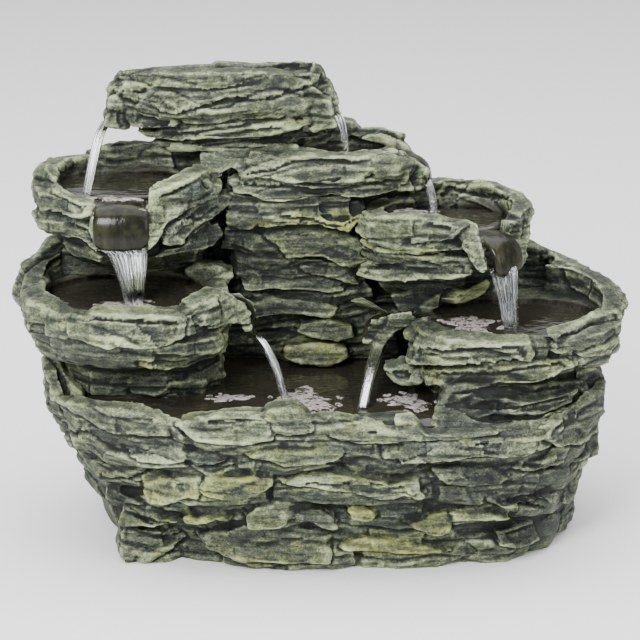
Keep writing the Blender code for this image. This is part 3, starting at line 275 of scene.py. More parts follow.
BEVEL_IN = 0.0045  # how far the face of a stone is drawn in from its outline, and how far it stands out
BEVEL_OUT = 0.0035
BACK_SHRINK = 0.93


def stone_face(stone):
    """The outline of a stone in place, leaning back from its foot to its top."""
    left = min(u for u, _ in stone.outline)
    right = max(u for u, _ in stone.outline)
    at_left, at_middle, at_right = stone.back
    upright = []
    for u, v in stone.outline:
        off = 2 * (u - left) / (right - left) - 1
        y = at_middle + (at_right - at_left) / 2 * off + ((at_left + at_right) / 2 - at_middle) * off * off
        upright.append(at_depth(u, v, y))
    middle_z = (min(p.z for p in upright) + max(p.z for p in upright)) / 2
    return [at_depth(*pixel, p.y + stone.lean * (p.z - middle_z)) for pixel, p in zip(stone.outline, upright)]


def stone_mesh(bm, stone):
    """Adds a stone of rock that is seen at its outline of pixels."""
    face = stone_face(stone)
    middle = sum(face, Vector()) / len(face)
    front, back = [], []
    for p in face:
        inward = Vector((middle.x - p.x, 0, middle.z - p.z))
        front.append(p + inward * min(0.6, BEVEL_IN / max(inward.length, 1e-6)) - Vector((0, BEVEL_OUT, 0)))
        back.append(middle + (p - middle) * BACK_SHRINK + Vector((0, stone.depth, 0)))
    rings = [[bm.verts.new(p) for p in ring] for ring in (front, face, back)]
    for near, far in zip(rings, rings[1:]):
        for i in range(len(near)):
            j = (i + 1) % len(near)
            bm.faces.new((near[i], near[j], far[j], far[i]))
    bm.faces.new(rings[0][::-1])
    bm.faces.new(rings[-1])


def remade(node, stones):
    """The casting's own solid with its stones, joined into one even mesh."""
    bm = bmesh.new()
    bm.from_mesh(frame["nodes"][node].data)
    for stone in stones:
        stone_mesh(bm, stone)
    bmesh.ops.recalc_face_normals(bm, faces=bm.faces)
    mesh = bpy.data.meshes.new(node)
    bm.to_mesh(mesh)
    bm.free()
    rough = bpy.data.objects.new(node, mesh)
    bpy.context.scene.collection.objects.link(rough)
    step = rough.modifiers.new("even", "REMESH")
    step.mode = "VOXEL"
    step.voxel_size = VOXEL
    even = evaluated_mesh(rough)
    bpy.data.objects.remove(rough)
    return even


PLAIN_MOSS = 0.26  # where the photograph shows no stone by itself
STONE_SKIN = 0.0025  # closer than this to a stone's faces, the surface is that stone's
GROOVE_REACH = 0.008  # the joint round a stone is this wide on the rock and half as wide on other stones


def stone_marks(points, stones, plain_pale):
    """What the stones do to each point: how pale, how mossy, whether on a stone, how deep in a joint."""
    pale = np.full(len(points), plain_pale)
    moss = np.full(len(points), PLAIN_MOSS)
    nearest = np.full(len(points), 1.0)
    second = np.full(len(points), 1.0)
    under_nearest = np.zeros(len(points))
    under_second = np.zeros(len(points))
    for stone in stones:
        bm = bmesh.new()
        stone_mesh(bm, stone)
        low = np.min([v.co for v in bm.verts], axis=0) - GROOVE_REACH
        high = np.max([v.co for v in bm.verts], axis=0) + GROOVE_REACH
        tree = BVHTree.FromBMesh(bm)
        bm.free()
        for i in np.flatnonzero(np.all((points > low) & (points < high), axis=1)):
            place, _, _, away = tree.find_nearest(points[i])
            under = (place.z - points[i][2]) / max(away, 1e-6)
            if away < nearest[i]:
                second[i], under_second[i] = nearest[i], under_nearest[i]
                nearest[i], under_nearest[i] = away, under
                pale[i], moss[i] = stone.pale, stone.moss
            elif away < second[i]:
                second[i], under_second[i] = away, under
    pale[nearest > GROOVE_REACH] = plain_pale
    moss[nearest > GROOVE_REACH] = PLAIN_MOSS
    on_stone = nearest < STONE_SKIN
    between_stones = (1 - ramp(second, 0, GROOVE_REACH / 2)) * undercut(under_second)
    beside_a_stone = (1 - ramp(nearest, STONE_SKIN, GROOVE_REACH)) * undercut(under_nearest)
    return pale, moss, on_stone, np.where(on_stone, between_stones, beside_a_stone)


def undercut(under):
    """How deep the joint is: deep under a stone, shallow beside it, hardly there above it. The paint darkens
    with it, as painted shadow under each stone.
    """
    return np.clip(0.48 + 0.66 * under, 0.10, 1)


def ramp(values, low, high):
    """0 at low and 1 at high, eased between them."""
    share = np.clip((values - low) / (high - low), 0, 1)
    return share * share * (3 - 2 * share)


def outside_block(points, low, high, soft=0.012):
    """0 in the block, rising to 1 at this distance from it."""
    away = np.maximum(np.maximum(np.array(low) - points, points - np.array(high)), 0)
    return ramp(np.linalg.norm(away, axis=1), 0, soft)


GROOVE_DEPTH = 0.0060
WHOLE = 0.60  # the share of the bedding that shows on a stone, which is one piece of rock
BED = (0.024, 0.14)  # how thick the beds are, and how long their plates
BED_STEP = 0.0052  # how much further out one plate stands than another
BED_JOINT = 0.0034
LAYER = (0.0090, 0.075)  # the thin layers within the beds
LAYER_STEP = 0.0022
LAYER_JOINT = 0.0014
CHIP = (0.056, 0.028)  # how long and how high a chipped hollow is
CHIP_DEPTH = 0.0066
SMALL_CHIP = (0.018, 0.011)
SMALL_CHIP_DEPTH = 0.0022
CHIP_MIDDLE = 0.3  # chips add rock above this and take it away below


def weather(skin, freedom, on_stone, groove, seed):
    """Splits the surface into beds, plates and thin layers, chips it and roughens it.

    freedom is how much each point may move, from 0 to 1, and groove how deep it is in a joint
    between stones, which the paint also darkens as painted shade. Returns the plate that each point is on.
    """
    points = skin.points
    normals = skin.relaxed(skin.normals(), 2)
    steep = np.clip(1.25 - np.abs(normals[:, 2]), 0.15, 1)
    plate, joint = plates(points, *BED, seed)
    layer, seam = plates(points, *LAYER, seed + 60)
    move = steep * (BED_STEP * (plate - 0.5) - BED_JOINT * joint) * np.where(on_stone, WHOLE, 1)
    move += steep * (LAYER_STEP * (layer - 0.5) - LAYER_JOINT * seam)
    move += CHIP_DEPTH * (chips(points, *CHIP, seed + 30) - CHIP_MIDDLE)
    move += SMALL_CHIP_DEPTH * (chips(points, *SMALL_CHIP, seed + 40) - CHIP_MIDDLE)
    move += 0.0005 * smooth_noise(points, 0.007, seed + 21)
    move -= GROOVE_DEPTH * groove
    skin.points = points + normals * (move * freedom)[:, None]
    skin.points[:] = skin.points + 0.25 * (skin.relaxed(skin.points, 1) - skin.points)
    return plate


SHARP_EDGE = 0.0011  # a point that stands out this far from those close to it is a rubbed, dry-brushed edge; one sunk this far is a crease, painted as shade
FULL_SWELL = 0.0050  # and this far from those round it, a swell; sunk this far, a broad hollow painted as shade


def store_marks(skin, wet, tone):
    """Stores what the paint follows: dry-brushed edges, hollows to be painted as shade, how wet it is, and
    the plate's tone.
    """
    normals = skin.normals()
    near = skin.relaxed(skin.points, 4)
    wide = skin.relaxed(skin.points, 28)
    edge = np.einsum("ij,ij->i", skin.points - near, normals) / SHARP_EDGE
    swell = np.einsum("ij,ij->i", skin.points - wide, normals) / FULL_SWELL
    skin.store("edge", np.clip(edge, -1, 1))
    skin.store("swell", np.clip(swell, -1, 1))
    skin.store("wet", wet)
    skin.store("tone", tone)


SPLASH = 0.004  # rock is fully wet this far above the water
BOWL_DRY = 0.014  # and dry this far above it, in the bowls and in the pool
POOL_DRY = 0.012
POOL_WET_FROM = (-0.022, -0.012)  # the base is dry below this height off the pool's level


def wetness(points, node):
    """1 where water keeps the rock dark: inside a bowl or the pool, up to a little above the water."""
    ragged = points[:, 2] + 0.004 * smooth_noise(points, 0.03, 5)
    if node == "base_basin":
        inside = 1 - ramp(oval_reach(points, *BASE_RIM, BASE_POWER), 1.00, 1.03)
        inside *= ramp(points[:, 2], *(POOL_LEVEL + off for off in POOL_WET_FROM))
        return inside * (1 - ramp(ragged, POOL_LEVEL + SPLASH, POOL_LEVEL + POOL_DRY))
    if node in BOWLS:
        *oval, floor, level = BOWLS[node]
        inside = 1 - ramp(oval_reach(points, *oval), 1.02, 1.14)
        inside *= 1 - ramp(ragged, level + SPLASH, level + BOWL_DRY)
        return inside * (points[:, 2] > floor - 0.006)
    return np.zeros(len(points))


BOWL_CLEAR = 0.985  # a bowl is kept clear out to this share of its half sizes
NEAR_WALL = 0.8  # what stands further in than this is left alone


def keep_bowl_clear(skin, node):
    """Pushes what reaches into a bowl back to the bowl's wall."""
    x, y, half_x, half_y, floor, _ = BOWLS[node]
    reach = oval_reach(skin.points, x, y, half_x, half_y)
    inside = (reach > NEAR_WALL) & (reach < BOWL_CLEAR) & (skin.points[:, 2] > floor + 0.004)
    push = np.where(inside, BOWL_CLEAR / np.maximum(reach, 0.1), 1.0)[:, None]
    centre = np.array((x, y))
    skin.points[:, :2] = centre + (skin.points[:, :2] - centre) * push


LIP_SEAT = 0.004  # the rock under a lip lies this far inside the lip's surface


def keep_lip_clear(skin, node):
    """Sets the rock back behind the smooth lip that water runs over."""
    direction, path, half_width, _ = LIPS[node]
    centre_x, centre_y = BOWLS[node][:2]
    turn = math.radians(direction)
    off_x, off_y = skin.points[:, 0] - centre_x, skin.points[:, 1] - centre_y
    along = off_x * math.cos(turn) + off_y * math.sin(turn)
    across = off_y * math.cos(turn) - off_x * math.sin(turn)
    distances, heights = np.array(path).T
    crest = heights.argmax()
    edge = np.interp(skin.points[:, 2], heights[:crest:-1], distances[:crest:-1]) - LIP_SEAT
    top = heights[crest] - LIP_SEAT
    in_way = (np.abs(across) < half_width - 0.001) & (along > distances[0])
    in_way &= skin.points[:, 2] > heights[-1]
    back = np.where(in_way & (along > edge), edge - along, 0)
    skin.points[:, 0] += back * math.cos(turn)
    skin.points[:, 1] += back * math.sin(turn)
    skin.points[:, 2] = np.where(in_way, np.minimum(skin.points[:, 2], top), skin.points[:, 2])


DIP_LEFT = (0.105, 0.130)  # where the dip in the rim begins and is full, from the left
DIP_RIGHT = (0.250, 0.290)  # and where it ends
DIP_BACK = (-0.150, -0.110)
DIP_FLOOR = 0.190  # rock above this comes down by this share
DIP_SHARE = 0.62


def lower_right_rim(points):
    """Lets the rim of the base dip in front of the right bowl's foot, down to just above the water."""
    share = ramp(points[:, 0], *DIP_LEFT) * (1 - ramp(points[:, 0], *DIP_RIGHT))
    share *= 1 - ramp(points[:, 1], *DIP_BACK)
    points[:, 2] -= DIP_SHARE * share * np.maximum(points[:, 2] - DIP_FLOOR, 0)


RIDGE_Y = 0.030  # the front of the top stone's flat top, and how high it is
RIDGE_Z = 0.618


def lower_top_back(points):
    """Lets the top of the top stone fall towards the back, as steeply as the camera looks down."""
    fall = np.maximum(points[:, 1] - RIDGE_Y, 0) * math.tan(ELEVATION)
    ragged = 0.004 * smooth_noise(points, 0.045, 7) + 0.002 * smooth_noise(points, 0.012, 8)
    points[:, 2] = np.minimum(points[:, 2], RIDGE_Z - fall + ragged)


def snap_to_solid(skin, node, calm):
    """Puts the points of the calm areas exactly on the casting's own flat faces."""
    mesh = frame["nodes"][node].data
    tree = BVHTree.FromPolygons([v.co for v in mesh.vertices], [p.vertices for p in mesh.polygons])
    for i in np.flatnonzero(calm):
        skin.points[i] = tree.find_nearest(skin.points[i])[0]


PLAIN_PALE = 0.30
BOWL_CALM = 0.55  # how much less rugged a bowl is inside


def carve(node, stones=(), calm_blocks=(), plain_pale=PLAIN_PALE, seed=0):
    """A casting as it looks: its solid and stones, weathered, with what its paint follows."""
    even = remade(node, stones)
    skin = Skin(even)
    freedom = np.ones(len(skin.points))
    for low, high in calm_blocks:
        freedom *= outside_block(skin.points, low, high)
    if node in BOWLS:
        *oval, floor, _ = BOWLS[node]
        in_bowl = 1 - ramp(oval_reach(skin.points, *oval), 0.95, 1.05)
        freedom *= 1 - BOWL_CALM * in_bowl * (skin.points[:, 2] > floor - 0.004)
    calm = freedom < 0.02
    low_z = skin.points[:, 2].min()
    pale, moss, on_stone, groove = stone_marks(skin.points, stones, plain_pale)
    tone = weather(skin, freedom, on_stone, groove, seed)
    if node in LIPS:
        keep_bowl_clear(skin, node)
        keep_lip_clear(skin, node)
    if node == "base_basin":
        lower_right_rim(skin.points)
    if node == "top_stone":
        lower_top_back(skin.points)
    snap_to_solid(skin, node, calm)
    skin.points[:, 2] = np.maximum(skin.points[:, 2], low_z)
    store_marks(skin, wetness(skin.points, node), tone)
    for name, values in (("pale", pale), ("moss", moss), ("groove", groove)):
        skin.store(name, skin.relaxed(values, 1))
    even.shade_smooth()
    made = show(node + "_rock", even, [ROCK])
    faces = 2 * len(even.polygons)
    if faces > MOST_FACES:
        thin = made.modifiers.new("thin", "DECIMATE")
        thin.ratio = MOST_FACES / faces
        made.data = evaluated_mesh(made)
        made.modifiers.clear()
    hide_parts(node)
    return made


# Materials

class Nodes:
    """A short way to write a material's nodes."""

    def __init__(self, name):
        self.material = bpy.data.materials.new(name)
        self.material.use_nodes = True
        self.tree = self.material.node_tree
        self.shader = self.tree.nodes["Principled BSDF"]
        self.place = self.add("ShaderNodeTexCoord").outputs["Object"]

    def add(self, kind, **settings):
        node = self.tree.nodes.new(kind)
        for key, value in settings.items():
            setattr(node, key, value)
        return node

    def feed(self, socket, value):
        """Links a socket's value, or sets it where it is the same everywhere."""
        if isinstance(value, bpy.types.NodeSocket):
            self.tree.links.new(value, socket)
        else:
            socket.default_value = value

    def stretched(self, stretch):
        """The place on the object, scaled by this much along each axis."""
        mapping = self.add("ShaderNodeMapping")
        mapping.inputs["Scale"].default_value = stretch
        self.feed(mapping.inputs["Vector"], self.place)
        return mapping.outputs["Vector"]

    def noise(self, scale, detail=4.0, roughness=0.6, stretch=(1, 1, 1), distortion=0.0):
        node = self.add("ShaderNodeTexNoise")
        self.feed(node.inputs["Vector"], self.stretched(stretch))
        node.inputs["Scale"].default_value = scale
        node.inputs["Detail"].default_value = detail
        node.inputs["Roughness"].default_value = roughness
        node.inputs["Distortion"].default_value = distortion
        return node.outputs["Fac"]

    def crackle(self, scale, stretch):
        """How far a point is from the nearest of a net of fine cracks."""
        node = self.add("ShaderNodeTexVoronoi", feature="DISTANCE_TO_EDGE")
        self.feed(node.inputs["Vector"], self.stretched(stretch))
        node.inputs["Scale"].default_value = scale
        return node.outputs["Distance"]

    def stored(self, name):
        """A value that the mesh stores at each point."""
        return self.add("ShaderNodeAttribute", attribute_name=name).outputs["Fac"]

    def math(self, operation, a, b=0.0, c=0.0):
        node = self.add("ShaderNodeMath", operation=operation)
        for socket, value in zip(node.inputs, (a, b, c)):
            self.feed(socket, value)
        return node.outputs[0]

    def step(self, value, low, high):
        """0 at low and 1 at high, eased between them."""
        node = self.add("ShaderNodeMapRange", interpolation_type="SMOOTHSTEP")
        self.feed(node.inputs["Value"], value)
        node.inputs["From Min"].default_value = low
        node.inputs["From Max"].default_value = high
        return node.outputs["Result"]

    def mix(self, share, a, b):
        node = self.add("ShaderNodeMix", data_type="RGBA")
        self.feed(node.inputs["Factor"], share)
        for socket, value in ((node.inputs[6], a), (node.inputs[7], b)):
            self.feed(socket, (*value, 1.0) if isinstance(value, tuple) else value)
        return node.outputs[2]

    def bump(self, height, strength, distance, before=None):
        node = self.add("ShaderNodeBump")
        self.feed(node.inputs["Height"], height)
        node.inputs["Strength"].default_value = strength
        node.inputs["Distance"].default_value = distance
        if before:
            self.feed(node.inputs["Normal"], before)
        return node.outputs["Normal"]

    def finish(self, **sockets):
        """Feeds the shader's sockets, named in lower case, and returns the material."""
        for name, value in sockets.items():
            value = (*value, 1.0) if isinstance(value, tuple) else value
            self.feed(self.shader.inputs[name.replace("_", " ").title().replace("Ior", "IOR")], value)
        return self.material


# The rock's colours, from painted shade at the bottom of a joint to a bright dry-brushed edge
# Near black, darker than the wash: painted shade in hollows and joints
CREVICE_SHADE = (0.006, 0.008, 0.006)
SLATE = (0.027, 0.034, 0.027)
STONE_GREY = (0.102, 0.118, 0.072)
BLUE_GREY = (0.080, 0.108, 0.105)
OLIVE = (0.118, 0.134, 0.042)
PALE_SAGE = (0.330, 0.380, 0.215)
MOSS = (0.320, 0.345, 0.070)
BRIGHT_EDGE = (0.560, 0.615, 0.400)
WET_BROWN = (0.018, 0.015, 0.009)


def rock_material():
    """Painted cast rock: a dark wash in the hollows, deepened to painted shade in hollows and joints, pale
    dry-brushed edges and mossy patches.

    wear_and_shade is how much of the pale paint a point caught, from painted shade at the bottom of a joint
    to a sharp edge.
    """
    n = Nodes("cast_rock_paint")
    edge, swell, wet, tone, pale, moss, groove = (
        n.stored(name) for name in ("edge", "swell", "wet", "tone", "pale", "moss", "groove")
    )
    broad = n.noise(14, 3)
    grain = n.noise(420, 3, 0.7)
    strokes = n.noise(75, 4, 0.65, (0.30, 0.30, 2.4), 0.3)
    speckle = n.noise(300, 5, 0.85, (1, 1, 1.4), 0.8)
    crackle = n.crackle(210, (1, 1, 1.5))
    # Faces that look up are a little paler: partly dry-brush caught on top faces, partly painted light from
    # above
    upward = n.add("ShaderNodeSeparateXYZ")
    n.feed(upward.inputs[0], n.add("ShaderNodeNewGeometry").outputs["Normal"])

    # Raised edges and swells catch the pale dry-brush; hollows and joints, most of all under a stone, sink to
    # painted shade
    wear_and_shade = n.math("MULTIPLY_ADD", pale, 0.62, -0.04)
    for amount, value in ((0.30, edge), (0.26, swell), (0.05, upward.outputs["Z"]), (-0.44, groove)):
        wear_and_shade = n.math("MULTIPLY_ADD", value, amount, wear_and_shade)
    for amount, value in ((0.60, broad), (0.75, strokes), (1.70, speckle), (0.14, tone)):
        wear_and_shade = n.math("MULTIPLY_ADD", n.math("SUBTRACT", value, 0.5), amount, wear_and_shade)
    wear_and_shade = n.math("MULTIPLY_ADD", n.step(crackle, 0.10, 0.01), 0.10, wear_and_shade)

    bluer = n.math("MULTIPLY", n.step(n.noise(9, 2), 0.52, 0.68), 0.35)
    greener = n.math("MULTIPLY_ADD", moss, 0.5, n.noise(30, 4, 0.6, (1, 1, 1.6)))
    middle = n.mix(bluer, STONE_GREY, BLUE_GREY)
    middle = n.mix(n.math("MULTIPLY", n.step(greener, 0.60, 0.90), 0.85), middle, OLIVE)
    mossy = n.math("MULTIPLY_ADD", n.math("SUBTRACT", n.noise(40, 5, 0.7), 0.5), 2.4, moss)
    mossy = n.math("MULTIPLY_ADD", n.math("SUBTRACT", speckle, 0.5), 0.9, mossy)
    light = n.mix(n.math("MULTIPLY", n.step(mossy, 0.42, 0.80), 0.85), PALE_SAGE, MOSS)

    # From painted shade, through the dark wash and the stone's own colour, to the dry-brush and its brightest
    # edges
    colour = n.mix(n.step(wear_and_shade, -0.12, 0.16), CREVICE_SHADE, SLATE)
    colour = n.mix(n.step(wear_and_shade, 0.10, 0.46), colour, middle)
    colour = n.mix(n.step(wear_and_shade, 0.40, 0.76), colour, light)
    colour = n.mix(n.math("MULTIPLY", n.step(wear_and_shade, 0.74, 1.06), 0.9), colour, BRIGHT_EDGE)
    colour = n.mix(n.math("MULTIPLY", wet, 0.93), colour, WET_BROWN)

    roughness = n.math("MULTIPLY_ADD", wet, -0.52, n.math("MULTIPLY_ADD", grain, 0.25, 0.54))
    normal = n.bump(strokes, 0.45, 0.0022)
    normal = n.bump(speckle, 0.65, 0.0018, normal)
    normal = n.bump(grain, 0.30, 0.0006, normal)
    return n.finish(base_color=colour, roughness=roughness, normal=normal, specular_ior_level=0.35)


ROCK = rock_material()


def lip_material():
    """The smooth lips under running water: olive brown, glossy, streaked along the flow."""
    n = Nodes("wet_lip")
    streaks = n.noise(70, 3, 0.6, (1, 1, 0.15))
    stain = n.noise(24, 4)
    colour = n.mix(n.step(streaks, 0.40, 0.66), (0.006, 0.006, 0.003), (0.024, 0.023, 0.010))
    colour = n.mix(n.step(stain, 0.50, 0.75), colour, (0.040, 0.044, 0.018))
    return n.finish(
        base_color=colour, roughness=0.20, normal=n.bump(streaks, 0.6, 0.0020), specular_ior_level=0.25,
    )


def pool_material():
    """Still dark water, almost black brown, with small waves."""
    n = Nodes("pool_water")
    depth = n.noise(18, 3)
    colour = n.mix(depth, (0.013, 0.012, 0.009), (0.036, 0.032, 0.023))
    waves = n.noise(46, 2, 0.5, (1, 1.5, 1))
    return n.finish(base_color=colour, roughness=0.06, normal=n.bump(waves, 0.30, 0.004))


def foam_material():
    """Foam: small pale bubbles, a little pink, with dark water showing between them."""
    n = Nodes("foam")
    bubbles = n.noise(520, 4, 0.8)
    clumps = n.noise(85, 5, 0.75)
    colour = n.mix(n.step(bubbles, 0.38, 0.62), (0.20, 0.17, 0.155), (0.62, 0.575, 0.550))
    colour = n.mix(n.step(clumps, 0.50, 0.58), colour, (0.040, 0.033, 0.023))
    return n.finish(base_color=colour, roughness=0.22, normal=n.bump(bubbles, 0.5, 0.0010))


def falling_water_material():
    """Clear falling water, rippled along the fall."""
    n = Nodes("falling_water")
    ripples = n.noise(210, 3, 0.7, (1, 1, 0.10))
    rough = n.math("MULTIPLY", ripples, 0.08)
    return n.finish(
        base_color=(0.95, 0.97, 0.98), roughness=rough, ior=1.33, transmission_weight=1.0,
        normal=n.bump(ripples, 0.5, 0.002),
    )


def aerated_water_material():
    """The white strands of a fall, full of fine air bubbles."""
    n = Nodes("aerated_water")
    bubbles = n.noise(240, 3, 0.7, (1, 1, 0.12))
    colour = n.mix(n.step(bubbles, 0.40, 0.60), (0.62, 0.68, 0.70), (0.95, 0.97, 0.98))
    return n.finish(
        base_color=colour, roughness=0.12, transmission_weight=0.25, ior=1.33,
        normal=n.bump(bubbles, 0.4, 0.001),
    )


LIP = lip_material()
POOL = pool_material()
FOAM = foam_material()
FALLING = falling_water_material()
AERATED = aerated_water_material()


def moulded_material(name, colour, roughness):
    """Moulded plastic or rubber with a fine even texture."""
    n = Nodes(name)
    texture = n.noise(900, 2)
    shade = n.mix(n.noise(30, 3), colour, tuple(c * 1.5 + 0.004 for c in colour))
    rough = n.math("MULTIPLY_ADD", texture, 0.2, roughness - 0.1)
    return n.finish(base_color=shade, roughness=rough, normal=n.bump(texture, 0.15, 0.0003))


def steel_material():
    """Stainless steel with a fine brushed grain."""
    n = Nodes("stainless")
    brushed = n.noise(400, 2, 0.5, (1, 1, 0.05))
    rough = n.math("MULTIPLY_ADD", brushed, 0.2, 0.22)
    shade = n.mix(brushed, (0.50, 0.50, 0.49), (0.66, 0.66, 0.64))
    return n.finish(base_color=shade, roughness=rough, metallic=1.0, normal=n.bump(brushed, 0.1, 0.0002))


def hose_material():
    """Hazy clear vinyl."""
    n = Nodes("vinyl_hose")
    haze = n.noise(60, 3)
    shade = n.mix(haze, (0.42, 0.47, 0.45), (0.58, 0.62, 0.60))
    return n.finish(base_color=shade, roughness=0.22, transmission_weight=0.25, ior=1.5)


def lens_material():
    """The lamp's lens, lit warm from behind."""
    n = Nodes("lamp_lens")
    glow = n.mix(n.noise(300, 2), (0.95, 0.78, 0.48), (1.0, 0.90, 0.66))
    return n.finish(base_color=glow, roughness=0.08, emission_color=glow, emission_strength=2.0)


FINISHES = {
    "door_plastic": moulded_material("door_plastic", (0.040, 0.046, 0.036), 0.55),
    "pump_plastic": moulded_material("pump_plastic", (0.012, 0.012, 0.014), 0.38),
    "seal_rubber": moulded_material("seal_rubber", (0.010, 0.010, 0.010), 0.75),
    "steel": steel_material(),
    "hose_vinyl": hose_material(),
    "lens": lens_material(),
}


def finish_fittings():
    """Gives the fittings, which keep their solids, their finishes."""
    for part in frame["record"]["subparts"]:
        if part["material_slot"] in FINISHES:
            node = frame["nodes"][part["node"]]
            node.data.materials.clear()
            node.data.materials.append(FINISHES[part["material_slot"]])


# Water

OVAL_POINTS = 56


def oval_outline(centre_x, centre_y, half_x, half_y, power):
    """Points round an oval, (x, y)."""
    ring = []
    for i in range(OVAL_POINTS):
        turn = 2 * math.pi * i / OVAL_POINTS
        c, s = math.cos(turn), math.sin(turn)
        x = math.copysign(abs(c) ** (2 / power), c)
        y = math.copysign(abs(s) ** (2 / power), s)
        ring.append((centre_x + half_x * x, centre_y + half_y * y))
    return ring


SHEET = 0.004  # the thickness of a sheet of still water
INTO_ROCK = 0.004  # how far the water of a bowl goes into the rock round it
POOL_INSET = 0.004  # how far the pool's edge lies inside the rim of the base


def still_water(name, outline, level):
    """A sheet of still water, made of rings from its edge to its middle."""
    bm = bmesh.new()
    middle_x = sum(x for x, _ in outline) / len(outline)
    middle_y = sum(y for _, y in outline) / len(outline)
    rings = []
    for share in (1.0, 0.75, 0.5, 0.25):
        ring = []
        for x, y in outline:
            point = (middle_x + (x - middle_x) * share, middle_y + (y - middle_y) * share, level)
            ring.append(bm.verts.new(point))
        rings.append(ring)
    under = [bm.verts.new((x, y, level - SHEET)) for x, y in outline]
    for low, high in zip([under, *rings], rings):
        for i in range(len(low)):
            j = (i + 1) % len(low)
            bm.faces.new((low[i], low[j], high[j], high[i]))
    bm.faces.new(rings[-1])
    bm.faces.new(under[::-1])
    mesh = bpy.data.meshes.new(name)
    bm.to_mesh(mesh)
    bm.free()
    mesh.shade_smooth()
    return show(name, mesh, [POOL])


def fill_bowls():
    """Still water in each bowl and in the pool."""
    for node, (x, y, half_x, half_y, _, level) in BOWLS.items():
        outline = oval_outline(x, y, half_x + INTO_ROCK, half_y + INTO_ROCK, BOWL_POWER)
        still_water(f"{node}_water", outline, level)
    x, y, half_x, half_y = BASE_RIM
    outline = oval_outline(x, y, half_x - POOL_INSET, half_y - POOL_INSET, BASE_POWER)
    still_water("pool_water", outline, POOL_LEVEL)


def smooth_tube(bm, points, radii, sides=8):
    """Adds a closed round body through these points."""
    rings = []
    for i, point in enumerate(points):
        along = (points[min(i + 1, len(points) - 1)] - points[max(i - 1, 0)]).normalized()
        side = along.cross(Vector((0, 1, 0.01))).normalized()
        up = side.cross(along)
        ring = []
        for k in range(sides):
            turn = 2 * math.pi * k / sides
            ring.append(bm.verts.new(point + (side * math.cos(turn) + up * math.sin(turn)) * radii[i]))
        rings.append(ring)
    for low, high in zip(rings, rings[1:]):
        for k in range(sides):
            j = (k + 1) % sides
            bm.faces.new((low[k], low[j], high[j], high[k]))
    bm.faces.new(rings[0][::-1])
    bm.faces.new(rings[-1])


FALL_STATIONS = 15
WHITE_SHARE = 0.45  # of the strands are white with air, thinner and in front of the clear ones
SWAY = 0.0014


def fall(name, start, end, start_width, end_width, strands, thickness, seed):
    """Water in free fall from start to end: strands side by side that spread or draw together."""
    rng = random.Random(seed)
    bm = bmesh.new()
    for strand in range(strands):
        place = 0.5 if strands == 1 else strand / (strands - 1)
        white = rng.random() < WHITE_SHARE
        sway = rng.uniform(-0.5, 0.5)
        fat = rng.uniform(0.35, 0.6) if white else rng.uniform(0.8, 1.3)
        points, radii = [], []
        for i in range(FALL_STATIONS):
            share = i / (FALL_STATIONS - 1)
            width = start_width + (end_width - start_width) * share**0.8
            away = math.sqrt(share)
            x = start.x + (end.x - start.x) * away
            y = start.y + (end.y - start.y) * away - (thickness if white else 0)
            z = start.z + (end.z - start.z) * share
            wander = SWAY * sway * math.sin(5 * share + strand)
            points.append(Vector((x + (place - 0.5) * width + wander, y + wander, z)))
            radii.append(thickness * fat * (1.15 - 0.35 * share + 0.12 * math.sin(9 * share + 2 * strand)))
        made = len(bm.faces)
        smooth_tube(bm, points, radii)
        bm.faces.ensure_lookup_table()
        for face in bm.faces[made:]:
            face.material_index = int(white)
    mesh = bpy.data.meshes.new(name)
    bm.to_mesh(mesh)
    bm.free()
    mesh.shade_smooth()
    return show(name, mesh, [FALLING, AERATED])


# Each fall: pixel where it leaves the lip and how far back that is, pixel where it lands and the
# level there, width at the lip and at the water, strands, thickness of a strand
FALLS = {
    "top_left_fall": ((107, 122), 0.062, (87, 197), HIGH_LEFT_LEVEL, 0.010, 0.008, 6, 0.0021),
    "top_right_fall": ((335, 112), 0.062, (347, 156), SMALL_LEVEL, 0.009, 0.006, 5, 0.0018),
    "small_bowl_fall": ((423, 176), 0.040, (435, 218), MID_RIGHT_LEVEL, 0.010, 0.006, 6, 0.0019),
    "upper_left_curtain": ((125, 250), -0.120, (135, 306), LOW_LEFT_LEVEL, 0.054, 0.020, 26, 0.0024),
    "middle_right_curtain": ((501, 266), -0.090, (510, 331), LOW_RIGHT_LEVEL, 0.036, 0.014, 17, 0.0023),
    "lower_left_fall": ((252, 332), -0.066, (287, 402), POOL_LEVEL, 0.010, 0.007, 7, 0.0022),
    "lower_right_fall": ((382, 340), -0.025, (362, 410), POOL_LEVEL, 0.012, 0.008, 7, 0.0024),
}


def pour():
    """The water that falls from each lip to the level below."""
    for number, (name, spec) in enumerate(FALLS.items()):
        leaves, depth, lands, level, start_width, end_width, strands, thickness = spec
        start = at_depth(*leaves, depth)
        end = at_level(*lands, level)
        fall(name, start, end, start_width, end_width, strands, thickness, number)


# Each patch of foam: pixel of its middle, water level, half width, half depth
FOAM_PATCHES = {
    "upper_left_foam": ((118, 199), HIGH_LEFT_LEVEL, 0.030, 0.009),
    "lower_left_foam": ((127, 305), LOW_LEFT_LEVEL, 0.034, 0.020),
    "lower_right_foam": ((470, 325), LOW_RIGHT_LEVEL, 0.036, 0.040),
    "middle_right_foam": ((410, 212), MID_RIGHT_LEVEL, 0.030, 0.014),
    "small_foam": ((346, 154), SMALL_LEVEL, 0.024, 0.007),
    "pool_foam": ((305, 400), POOL_LEVEL, 0.040, 0.048),
    "pool_foam_right": ((408, 402), POOL_LEVEL, 0.032, 0.032),
    "pool_foam_left": ((230, 398), POOL_LEVEL, 0.026, 0.016),
}
FOAM_RISE = 0.0012
FOAM_POINTS = 96
FOAM_SHEET = 0.85  # the main sheet, as a share of the patch
RAFTS = 7  # small ones drift round it, this far out and this large
RAFT_AWAY = 1.15
RAFT_SIZES = (0.06, 0.16)
FOAM_WAVES = ((2, 0.20), (3, 0.18), (5, 0.12), (8, 0.09), (13, 0.06), (21, 0.04), (31, 0.03))


